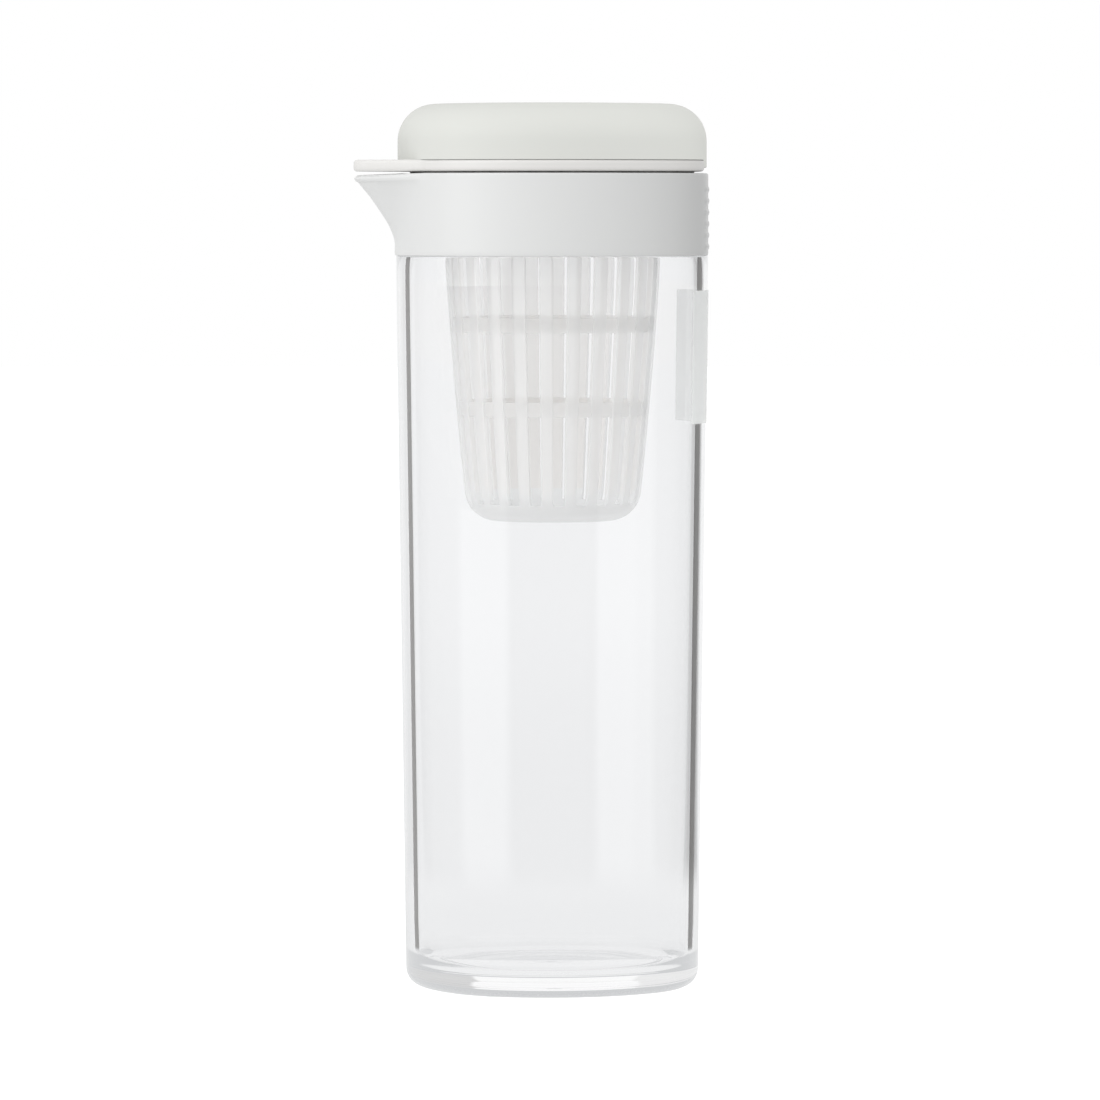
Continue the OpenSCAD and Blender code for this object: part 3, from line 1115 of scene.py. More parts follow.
class Finishes:
    """Every material of the pitcher, made once.

    Attributes:
        clear: Outside of the clear body.
        bore: Inside wall of the clear body, with a painted dark line, a painted shade, at its
            edges.
        white: The collar.
        flange: The lid's plate and plug.
        cover: The lid's cover.
        frosted: Outside of the basket.
        basket_inside: Inside of the basket.
        silicone: Both seals.
        label: The blank label.
        shade_full_rise: Height above the basket's bottom up to which its colour keeps the full
            painted shade.
        clear_top_drop: Distance below the basket's top from which its colour has no painted shade
            and it is clearest.
    """

    shade_full_rise = 20 * MM
    clear_top_drop = 5 * MM

    def __init__(self) -> None:
        """Build the shared groups and the materials."""
        grain = MouldedGrain()
        flow = MouldFlow()
        self.clear = ClearPlastic("clear_outside").build(flow)
        label_low, label_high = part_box("back_label")
        # The bore's dark line is a painted shade.
        rim = PaintedRimShade(hidden=(label_low.z, label_high.z))
        self.bore = ClearPlastic("clear_inside", rim=rim).build(flow)
        self.white = MouldedPlastic(
            "white_collar", (0.595, 0.6, 0.597), roughness=0.36, coat=0.15
        ).build(grain)
        self.flange = MouldedPlastic(
            "white_flange", (0.61, 0.603, 0.588), roughness=0.36, coat=0.1
        ).build(grain)
        self.cover = MouldedPlastic(
            "grey_cover", (0.56, 0.567, 0.54), roughness=0.7, grain_scale=1500.0, grain_depth=0.16
        ).build(grain)
        self.frosted = self.frosted_plastic("frosted_basket", (0.965, 0.97, 0.97)).build(grain)
        self.basket_inside = self.frosted_plastic("frosted_inside", (0.97, 0.935, 0.9)).build(grain)
        self.silicone = MouldedPlastic(
            "silicone", (0.62, 0.63, 0.62), roughness=0.5, glow=0.1
        ).build(grain)
        self.label = Film("label_film", (0.87, 0.88, 0.875)).build(grain)

    def frosted_plastic(self, name: str, colour: Colour) -> MouldedPlastic:
        """The basket's plastic in one colour.

        Args:
            name: Name of the material.
            colour: Base colour, linear.

        Returns:
            The finish.
        """
        low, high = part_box("infuser_basket")
        return MouldedPlastic(
            name,
            colour,
            roughness=0.34,
            glow=0.45,
            clearness=0.45,
            lamp_clearness=0.35,
            # Painted shade at the bottom, clearer towards the top.
            heights=(low.z + self.shade_full_rise, high.z - self.clear_top_drop),
            top_clearness=0.28,
            low_painted_shade=0.93,
        )


@dataclass
class Vessel:
    """The clear body: floor, foot, leaning walls, shoulder and neck.

    Attributes:
        finishes: The pitcher's materials.
        plan: The shared plan.
        taper: How much less the half width is at the foot.
        wall: Thickness of the side wall.
        floor: Thickness of the floor.
        recess: Height of the hollow under the floor.
        ring: Width of the ring that the body stands on.
        foot_round: Outer rounding at the foot.
        floor_round: Inner rounding between wall and floor.
        neck_inset: Step from the shoulder's edge in to the neck.
        outer_ease: Rounding at the shoulder's and the neck's outer edges.
        inner_ease: Rounding at the neck's inner edge.
        gate: Radius of the moulding's gate mark.
        gate_rings: Shares of that radius and heights above the floor of its rings.
        gate_height: Height of its middle above the floor.
        low: Lowest corner of the model's body.
        high: Highest corner of the model's body.
        shoulder: Height of the shoulder, where the collar starts.
    """

    finishes: Finishes
    plan: Plan
    taper: float = 3.2 * MM
    wall: float = 3.2 * MM
    floor: float = 4.0 * MM
    recess: float = 2.8 * MM
    ring: float = 5.0 * MM
    foot_round: float = 5.5 * MM
    floor_round: float = 6.0 * MM
    neck_inset: float = 1.75 * MM
    outer_ease: float = 0.5 * MM
    inner_ease: float = 0.4 * MM
    gate: float = 1.5 * MM
    gate_rings: tuple[Point, ...] = ((1.3, 0.0), (1.0, 0.12 * MM), (0.6, 0.3 * MM))
    gate_height: float = 0.35 * MM
    low: Vector = field(default_factory=lambda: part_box("vessel_body")[0])
    high: Vector = field(default_factory=lambda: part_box("vessel_body")[1])
    shoulder: float = field(default_factory=lambda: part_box("collar")[0].z)

    @property
    def level(self) -> float:
        """Height of the floor's upper face."""
        return self.recess + self.floor

    def half(self, height: float) -> float:
        """Half width of the outside at a height."""
        return self.high.x - self.taper * (1 - height / self.shoulder)

    def outside(self) -> Section:
        """Section of the outside, from the foot ring to the neck's rim.

        Returns:
            The section.
        """
        foot = self.half(0) - self.foot_round
        ease = self.outer_ease
        neck = self.high.x - self.neck_inset
        wall = arc((foot, self.foot_round), self.foot_round, -90, 0, FOOT_STEPS)
        wall[-1] = (self.half(self.foot_round), self.foot_round)
        wall += line(wall[-1], (self.high.x, self.shoulder - ease), WALL_STEPS)[1:]
        wall += arc((self.high.x - ease, self.shoulder - ease), ease, 15, 90, CORNER_STEPS)
        wall += [(neck, self.shoulder), (neck, self.high.z - ease)]
        return wall + arc((neck - ease, self.high.z - ease), ease, 0, 90, CORNER_STEPS)

    def inside(self) -> Section:
        """Section of the inside, from the neck's rim down to the floor.

        Returns:
            The section.
        """
        bend = self.level + self.floor_round
        low = self.half(bend) - self.wall
        rim = self.half(self.high.z) - self.wall
        ease = self.inner_ease
        top = arc((rim + ease, self.high.z - ease), ease, 90, 180, EDGE_STEPS)
        wall = line((rim, self.high.z - ease), (low, bend), WALL_STEPS)[1:]
        turn = arc((low - self.floor_round, bend), self.floor_round, 0, -90, HALF_STEPS)
        return top + wall + turn[1:]

    def build(self) -> None:
        """Build the body and put it in its place."""
        ring_in = self.half(0) - self.foot_round - self.ring
        loft = Loft()
        loft.open_pole(self.recess)
        loft.flat(self.plan, ring_in, OUTWARD, self.recess)
        loft.sweep(self.plan, arc((ring_in - self.recess, 0), self.recess, 90, 20, ROUND_STEPS))
        loft.sweep(self.plan, [(ring_in, 0)])
        loft.sweep(self.plan, self.outside())
        loft.sweep(self.plan, self.inside())
        loft.flat(self.plan, ring_in, INWARD, self.level)
        loft.turn([(self.gate * share, self.level + rise) for share, rise in self.gate_rings])
        loft.pole(self.level + self.gate_height)
        loft.weld()
        for face in loft.faces_where(self.in_bore):
            face.material_index = 1
        piece = finished(loft.bm, "clear_vessel", self.finishes.clear, self.finishes.bore)
        place(piece, Body.VESSEL, Slot.CLEAR, "vessel_body")

    def in_bore(self, middle: Vector) -> bool:
        """True for a point on the inside wall above the floor's rounding."""
        bend = self.level + self.floor_round
        far = math.hypot(middle.x, middle.y) / self.plan.reach(math.atan2(middle.y, middle.x))
        return bend < middle.z < self.high.z - MM and far < self.half(middle.z) - self.wall / 2


@dataclass
class Collar:
    """The white collar: wall, spout and lip, shelf with pour openings, grip ridges.

    Attributes:
        finishes: The pitcher's materials.
        plan: The shared plan.
        half: Half width of the outside.
        wall: Thickness of the wall.
        shelf_rise: Height of the shelf's lower face above the collar's lower edge.
        shelf_thick: Thickness of the shelf.
        bore: Radius of the bore that takes the basket.
        land: Outer radius of the land around the bore.
        opening: Outer radius of the pour openings.
        channel: Depth of the spout's channel below the rim.
        spout: How far the spout's wall reaches past the collar.
        spout_half: Half width of the spout at the collar.
        tip: Radius of the spout's tip.
        root_back: How far inside the wall the spout's sides start.
        root_share: Width of the spout at its root, as a share of its full width.
        root_rise: Height of the spout's root above the collar's lower edge.
        growth_power: Exponent of the spout's growth with height.
        lip: Height of the lip's bead.
        lip_proud: How far the bead stands out.
        lip_peak: Share of its height at which it stands out furthest.
        lip_start: Slope of its lower part; at one over the peak it would start flush.
        bead_root: Share of the bead that is there where the spout begins.
        bead_from: How far the spout stands out where the bead begins.
        lip_shares: Heights of the rings on the bead, as shares of its height.
        dip: How far the rim dips at the tip.
        dip_start: Distance inside the wall from which it dips.
        blend: Width of the rounding between collar and spout.
        channel_blend: Share of it that the channel has.
        channel_ease: Height over which the channel opens.
        edge_ease: Rounding at the lower edge.
        rim_round: Rounding at the rim's outer edge.
        rim_ease: Rounding at the rim's inner edge, and at the bore's edges.
        fillet: Fillet where the inner wall meets the shelf.
        ridges: Number of grip ridges.
        ridge: Height of a ridge.
        ridge_proud: How far a ridge stands out.
        ridge_pitch: Spacing of the ridges.
        ridge_rise: Height of the lowest ridge above the collar's lower edge.
        ridge_ease: Length over which a ridge fades at its ends.
        grip: Length of the ridges.
        opening_turns: Spacing of the pour openings and half their width, in degrees.
        low: Lowest corner of the model's collar.
        high: Highest corner of the model's collar.
    """

    finishes: Finishes
    plan: Plan
    half: float = 51.8 * MM
    wall: float = 1.6 * MM
    shelf_rise: float = 8.4 * MM
    shelf_thick: float = 2.0 * MM
    bore: float = 37.3 * MM
    land: float = 42.9 * MM
    opening: float = 48.6 * MM
    channel: float = 10.5 * MM
    spout: float = 13.7 * MM
    spout_half: float = 19.0 * MM
    tip: float = 6.5 * MM
    root_back: float = 2.8 * MM
    root_share: float = 0.4
    root_rise: float = 4.5 * MM
    growth_power: float = 1.1
    lip: float = 2.4 * MM
    lip_proud: float = 1.4 * MM
    lip_peak: float = 0.3
    lip_start: float = 1.08
    bead_root: float = 0.15
    bead_from: float = 0.6 * MM
    lip_shares: tuple[float, ...] = (0.0, 0.06, 0.15, 0.3, 0.5, 0.68)
    dip: float = 0.7 * MM
    dip_start: float = 4.0 * MM
    blend: float = 5.0 * MM
    channel_blend: float = 0.6
    channel_ease: float = 1.2 * MM
    edge_ease: float = 0.4 * MM
    rim_round: float = 0.7 * MM
    rim_ease: float = 0.35 * MM
    fillet: float = 1.2 * MM
    ridges: int = 6
    ridge: float = 2.2 * MM
    ridge_proud: float = 0.4 * MM
    ridge_pitch: float = 3.8 * MM
    ridge_rise: float = 1.8 * MM
    ridge_ease: float = 1.5 * MM
    grip: float = 50.0 * MM
    opening_turns: Span = (60.0, 20.0)
    low: Vector = field(default_factory=lambda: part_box("collar")[0])
    high: Vector = field(default_factory=lambda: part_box("collar")[1])

    @property
    def shelf(self) -> tuple[float, float]:
        """Heights of the shelf's lower and upper face."""
        low = self.low.z + self.shelf_rise
        return low, low + self.shelf_thick

    def growth(self, height: float) -> float:
        """Share of the spout's growth at a height."""
        start = self.low.z + self.root_rise
        end = self.high.z - self.lip
        return min(1.0, max(0.0, (height - start) / (end - start))) ** self.growth_power

    def beak(self, height: float, inset: float = 0.0) -> Beak:
        """Plan of the spout at a height, or of its channel.

        Args:
            height: Height above the base.
            inset: Thickness of the spout's wall, for the channel.

        Returns:
            The plan.
        """
        share = self.growth(height)
        root = self.half - self.wall - self.root_back
        width = self.spout_half * (self.root_share + (1 - self.root_share) * share)
        reach = self.half + self.spout * share
        return Beak(root, reach - inset, width - inset, self.tip - inset / 2)

    def bead(self, height: float) -> float:
        """How far the lip's bead stands out at a height.

        Args:
            height: Height above the base.

        Returns:
            The distance.
        """
        up = (height - self.high.z + self.lip) / self.lip
        if not 0 <= up <= 1:
            return 0.0
        peak = self.lip_peak
        back = 1 - self.lip_start * up if up < peak else (up - peak) / (1 - peak)
        return self.lip_proud * math.sqrt(max(0.0, 1 - back**2))

    def ridges_at(self, angle: float, height: float) -> float:
        """How far a grip ridge stands out at a place on the wall.

        Args:
            angle: Bearing in radians.
            height: Height above the base.

        Returns:
            The distance.
        """
        across = abs(math.sin(angle)) * self.half * self.plan.reach(angle)
        if math.cos(angle) < 0 or across > self.grip / 2:
            return 0.0
        up = height - self.low.z - self.ridge_rise
        index = math.floor(up / self.ridge_pitch)
        inside = (up - index * self.ridge_pitch) / self.ridge
        if not 0 <= index < self.ridges or inside > 1:
            return 0.0
        edge = smooth(self.grip / 2, self.grip / 2 - self.ridge_ease, across)
        proud = min(self.ridge_proud, self.high.x - self.half)
        return proud * math.sin(math.pi * inside) * edge

    def outer(self, height: float, inset: float = 0.0) -> Reach:
        """Reach of the outside at a height, less an inset for the rim's rounding.

        Args:
            height: Height above the base.
            inset: The inset.

        Returns:
            The reach.
        """
        beak = self.beak(height)

        def reach(angle: float) -> float:
            """Distance from the axis at a bearing.

            Args:
                angle: Bearing in radians.

            Returns:
                The distance.
            """
            wall = self.half * self.plan.reach(angle)
            full = blended_max(wall, beak.at(angle), self.blend)
            past = min(1.0, max(0.0, (full - wall) / self.spout))
            share = self.bead_root + (1 - self.bead_root) * past
            bead = self.bead(height) * share if full - wall > self.bead_from else 0.0
            return full + bead + self.ridges_at(angle, height) - inset

        return reach

    def inner(self, height: float, spread: float = 0.0) -> Reach:
        """Reach of the inside at a height, with the spout's channel where it is open.

        Args:
            height: Height above the base.
            spread: How far it lies outside the inner wall.

        Returns:
            The reach.
        """
        beak = self.beak(height, self.wall)
        floor = self.high.z - self.channel
        open_share = smooth(floor, floor + self.channel_ease, height)

        def reach(angle: float) -> float:
            """Distance from the axis at a bearing.

            Args:
                angle: Bearing in radians.

            Returns:
                The distance.
            """
            wall = (self.half - self.wall) * self.plan.reach(angle)
            full = blended_max(wall, beak.at(angle), self.blend * self.channel_blend)
            return wall + (full - wall) * open_share + spread

        return reach

    def rim(self, drop: float) -> Height:
        """Height of the rim below its top, which dips towards the spout's tip.

        Args:
            drop: Distance below the rim.

        Returns:
            The height at each bearing.
        """

        def height(angle: float) -> float:
            """Height at a bearing."""
            ahead = self.outer(self.high.z)(angle) * -math.cos(angle)
            past = max(0.0, ahead - self.half + self.dip_start)
            return self.high.z - drop - self.dip * min(1.0, past / (self.spout + self.dip_start))

        return height

    def grow_outside(self, loft: Loft) -> None:
        """Grow the wall from its lower edge to its rim.

        Args:
            loft: The mesh that grows.
        """
        ease = self.edge_ease
        for inset, height in arc((0, self.low.z + ease), ease, -90, 0, EDGE_STEPS):
            loft.ring(self.outer(self.low.z, ease - inset), height)
        start = self.low.z + self.ridge_rise
        heights = [
            start + self.ridge_pitch * index + self.ridge * step / ROUND_STEPS
            for index in range(self.ridges)
            for step in range(ROUND_STEPS + 1)
        ]
        edge = self.high.z - self.lip
        heights = [h for h in heights if h < edge - 0.2 * MM]
        heights += [edge + self.lip * share for share in self.lip_shares]
        rim = self.rim(0.0)
        for height in heights:
            share = smooth(edge - 6 * MM, edge, height)
            loft.ring(
                self.outer(height),
                lambda angle, h=height, s=share: h + (rim(angle) - self.high.z) * s,
            )
        rounding = self.rim_round
        beside_top = self.high.z - 0.25 * MM
        for inset, height in arc((0, 0), rounding, 15, 90, RIM_STEPS):
            loft.ring(self.outer(beside_top, rounding - inset), self.rim(rounding - height))

    def grow_inside(self, loft: Loft) -> None:
        """Grow the rim's inner edge, the channel, the shelf and the pocket below it.

        Args:
            loft: The mesh that grows.
        """
        ease, fillet = self.rim_ease, self.fillet
        shelf_low, shelf_high = self.shelf
        for inset, height in arc((0, 0), ease, 90, 180, EDGE_STEPS):
            loft.ring(self.inner(self.high.z, ease + inset), self.rim(ease - height))
        top = self.high.z - self.channel_ease
        floor = self.high.z - self.channel
        for step in range(FOOT_STEPS + 1):
            height = top + (floor - top) * step / FOOT_STEPS
            loft.ring(self.inner(height), height)
        inside = self.half - self.wall
        bend = (inside - fillet, shelf_high + fillet)
        loft.sweep(self.plan, arc(bend, fillet, 0, -90, CORNER_STEPS))
        loft.turn([(self.opening, shelf_high), (self.land, shelf_high)])
        loft.turn(arc((self.bore + ease, shelf_high - ease), ease, 90, 180, EDGE_STEPS))
        loft.turn(arc((self.bore + ease, shelf_low + ease), ease, 180, 270, EDGE_STEPS))
        loft.turn([(self.land, shelf_low), (self.opening, shelf_low)])
        loft.sweep(self.plan, [(inside, shelf_low), (inside, self.low.z)])

    def cut_openings(self, loft: Loft) -> None:
        """Open the shelf between its land and its edge.

        Args:
            loft: The closed mesh of the collar.
        """

        pitch, half_width = self.opening_turns
        shelf_low, shelf_high = self.shelf
        spare = 0.1 * MM

        def over_opening(middle: Vector) -> bool:
            """True for a face of the shelf that lies in a pour opening.

            Args:
                middle: The face's middle.

            Returns:
                The answer.
            """
            far = math.hypot(middle.x, middle.y)
            turn = math.degrees(math.atan2(middle.y, middle.x)) % pitch
            on_shelf = shelf_low - spare < middle.z < shelf_high + spare
            between = self.land < far < self.opening
            return on_shelf and between and min(turn, pitch - turn) < half_width

        faces = loft.faces_where(over_opening)
        bmesh.ops.delete(loft.bm, geom=faces, context="FACES_ONLY")
        bridge_holes(loft.bm)

    def build(self) -> None:
        """Build the collar and put it in its place."""
        loft = Loft()
        self.grow_outside(loft)
        self.grow_inside(loft)
        loft.ring(self.outer(self.low.z, self.edge_ease), self.low.z)
        loft.weld()
        self.cut_openings(loft)
        piece = finished(loft.bm, "white_collar", self.finishes.white)
        place(piece, Body.VESSEL, Slot.WHITE, "collar")


def bridge_holes(bm: bmesh.types.BMesh) -> None:
    """Join each pair of hole edges that lie one over the other through a wall.

    Args:
        bm: A mesh whose only open edges are the two ends of each hole.
    """
    loops = edge_loops([e for e in bm.edges if e.is_boundary])
    centres = [
        sum((v.co for e in loop for v in e.verts), Vector()) / (2 * len(loop)) for loop in loops
    ]
    left = list(range(len(loops)))
    while left:
        first = left.pop(0)
        near = min(left, key=lambda i: (centres[i] - centres[first]).length)
        left.remove(near)
        bmesh.ops.bridge_loops(bm, edges=loops[first] + loops[near])
    bmesh.ops.recalc_face_normals(bm, faces=list(bm.faces))


def edge_loops(edges: Iterable[bmesh.types.BMEdge]) -> list[list[bmesh.types.BMEdge]]:
    """Sort open edges into the loops that they make, in the edges' own order.

    Args:
        edges: The open edges.

    Returns:
        One list of edges for each loop.
    """
    left = dict.fromkeys(edges)
    loops = []
    while left:
        start = next(iter(left))
        del left[start]
        loop, front = [start], list(start.verts)
        while front:
            vert = front.pop()
            for edge in vert.link_edges:
                if edge in left:
                    del left[edge]
                    loop.append(edge)
                    front.append(edge.other_vert(vert))
        loops.append(loop)
    return loops


@dataclass
class Basket:
    """The hanging basket: slotted side, two bands, rounded bottom and rim.

    Attributes:
        finishes: The pitcher's materials.
        top: Outer radius right under the rim.
        narrow: Outer radius where the bottom rounding starts.
        bulge: How far the side bulges past a straight line.
        rounding: Radius of the rounding at the bottom.
        wall: Thickness of the wall.
        rim: Thickness of the rim.
        slots: Number of slots.
        slot_low: Height of the slots' lower ends above the bottom.
        slot_margin: Distance of the slots' upper ends below the rim.
        slot_ease: Rounding at the slots' edges.
        bands: Heights of the bands above the bottom.
        band_height: Height of a band.
        band_inset: How far a band's outer face lies inside the side's.
        band_inner: How far a band stands out on the side's inner face.
        rim_ease: Rounding at the rim's edges.
        rim_fillet: Fillet between the side and the rim.
        band_ease: Rounding at the bands' edges.
        low: Lowest corner of the model's basket.
        high: Highest corner of the model's basket.
    """

    finishes: Finishes
    top: float = 36.8 * MM
    narrow: float = 29.6 * MM
    bulge: float = 0.58 * MM
    rounding: float = 10.5 * MM
    wall: float = 2.0 * MM
    rim: float = 1.8 * MM
    slots: int = 24
    slot_low: float = 5.9 * MM
    slot_margin: float = 4.5 * MM
    slot_ease: float = 0.35 * MM
    bands: Span = (35.0 * MM, 62.8 * MM)
    band_height: float = 5.0 * MM
    band_inset: float = 0.7 * MM
    band_inner: float = 0.4 * MM
    rim_ease: float = 0.4 * MM
    rim_fillet: float = 0.6 * MM
    band_ease: float = 0.3 * MM
    low: Vector = field(default_factory=lambda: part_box("infuser_basket")[0])
    high: Vector = field(default_factory=lambda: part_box("infuser_basket")[1])

    def lean(self) -> float:
        """Angle of the side at its lower end, in degrees."""
        run = self.high.z - self.rim - self.low.z - self.rounding
        return math.degrees(math.atan((self.top - self.narrow + 4 * self.bulge) / run))

    def side_low(self) -> float:
        """Height at which the side meets the bottom rounding."""
        return self.low.z + self.rounding * (1 - math.sin(math.radians(self.lean())))

    def radius(self, height: float) -> float:
        """Outer radius of the side at a height."""
        share = (height - self.side_low()) / (self.high.z - self.rim - self.side_low())
        return self.narrow + (self.top - self.narrow) * share + self.bulge * 4 * share * (1 - share)

    def bottom(self, inset: float) -> Section:
        """Section of the bottom rounding, from the axis to the side."""
        out = self.narrow - self.rounding * math.cos(math.radians(self.lean()))
        centre = (out, self.low.z + self.rounding)
        return arc(centre, self.rounding - inset, -90, -self.lean(), BOTTOM_STEPS)

    def side_heights(self) -> list[float]:
        """Heights of the side's rings, with a ring at the slots' upper ends.

        Returns:
            The heights.
        """
        start, end = self.side_low(), self.high.z - self.rim
        rise = end - self.slot_margin - start
        heights = [start + rise * step / TOP_STEPS for step in range(1, TOP_STEPS + 1)]
        return heights + [end - self.slot_margin / 2]

    def split_bottom(self, inset: float) -> Section:
        """The bottom rounding with one of its points moved to the slots' lower ends.

        Args:
            inset: How far the section lies inside the outside.

        Returns:
            The section.
        """
        points = self.bottom(inset)
        level = self.low.z + self.slot_low
        nearest = min(range(1, len(points) - 1), key=lambda i: abs(points[i][1] - level))
        centre = (points[0][0], self.low.z + self.rounding)
        radius = self.rounding - inset
        points[nearest] = (centre[0] + math.sqrt(radius**2 - (centre[1] - level) ** 2), level)
        return points

    def grow_shell(self, loft: Loft) -> None:
        """Grow the outside, the rim and the inside.

        Args:
            loft: The mesh that grows.
        """
        ease, fillet = self.rim_ease, self.rim_fillet
        rim_r = self.high.x
        shelf = self.high.z - self.rim
        middle = self.bottom(0.0)[0][0]
        loft.open_pole(self.low.z)
        loft.turn([(middle * share, self.low.z) for share in (0.3, 0.7)])
        loft.turn(self.split_bottom(0.0))
        loft.turn([(self.radius(h), h) for h in self.side_heights()])
        loft.turn(arc((self.top + fillet, shelf - fillet), fillet, 180, 90, CORNER_STEPS))
        loft.turn([(rim_r - ease, shelf), (rim_r, shelf + ease)])
        loft.turn(arc((rim_r - ease, self.high.z - ease), ease, 0, 90, CORNER_STEPS))
        inner = self.top - self.wall
        loft.turn(arc((inner + ease, self.high.z - ease), ease, 90, 180, CORNER_STEPS))
        loft.turn([(self.radius(h) - self.wall, h) for h in reversed(self.side_heights())])
        loft.turn(reversed(self.split_bottom(self.wall)))
        loft.turn([(middle * share, self.low.z + self.wall) for share in (0.7, 0.3)])
        loft.pole(self.low.z + self.wall)

    def cut_slots(self, loft: Loft) -> None:
        """Open the slots and round their edges.

        Args:
            loft: The closed mesh of the basket.
        """
        pitch = 360 / self.slots
        low = self.low.z + self.slot_low
        high = self.high.z - self.rim - self.slot_margin

        def over_slot(middle: Vector) -> bool:
            """True for a face of the side that lies in a slot."""
            turn = math.degrees(math.atan2(middle.y, middle.x)) % pitch
            return low < middle.z < high and pitch / 4 < turn < pitch * 3 / 4

        faces = loft.faces_where(over_slot)
        bmesh.ops.delete(loft.bm, geom=faces, context="FACES_ONLY")
        bridge_holes(loft.bm)
        rims = [e for e in loft.bm.edges if self.is_slot_edge(e, low, high)]
        bmesh.ops.bevel(
            loft.bm,
            geom=rims,
            offset=self.slot_ease,
            offset_type="OFFSET",
            affect="EDGES",
            segments=2,
            profile=0.5,
            material=-1,
        )

    @staticmethod
    def is_slot_edge(edge: bmesh.types.BMEdge, low: float, high: float) -> bool:
        """True for a sharp edge around a slot's mouth."""
        inside = all(low - SLOT_REACH < v.co.z < high + SLOT_REACH for v in edge.verts)
        return inside and edge.calc_face_angle(0.0) > SLOT_EDGE

    def band(self, rise: float) -> Loft:
        """One band as a closed ring.

        Args:
            rise: Height of the band above the basket's bottom.

        Returns:
            The band's mesh.
        """
        loft = Loft()
        start = self.low.z + rise
        end = start + self.band_height
        out_low, out_high = (self.radius(height) - self.band_inset for height in (start, end))
        thick = self.wall + self.band_inner - self.band_inset
        loft.turn(rounded((start, end), (out_low, out_high), thick, self.band_ease))
        loft.weld()
        return loft

    def inside(self, middle: Vector) -> bool:
        """True for a point on the inner face of the side."""
        far = math.hypot(middle.x, middle.y)
        return middle.z > self.side_low() and far < self.radius(middle.z) - self.wall * INSIDE

    def build(self) -> None:
        """Build the basket and put it in its place."""
        loft = Loft()
        self.grow_shell(loft)
        loft.weld()
        self.cut_slots(loft)
        for rise in self.bands:
            ring = self.band(rise)
            held = bpy.data.meshes.new("band")
            ring.bm.to_mesh(held)
            ring.bm.free()
            loft.bm.from_mesh(held)
            bpy.data.meshes.remove(held)
        for face in loft.faces_where(self.inside):
            face.material_index = 1
        finishes = (self.finishes.frosted, self.finishes.basket_inside)
        piece = finished(loft.bm, "slotted_basket", *finishes)
        place(piece, Body.INFUSER, Slot.FROSTED, "infuser_basket")


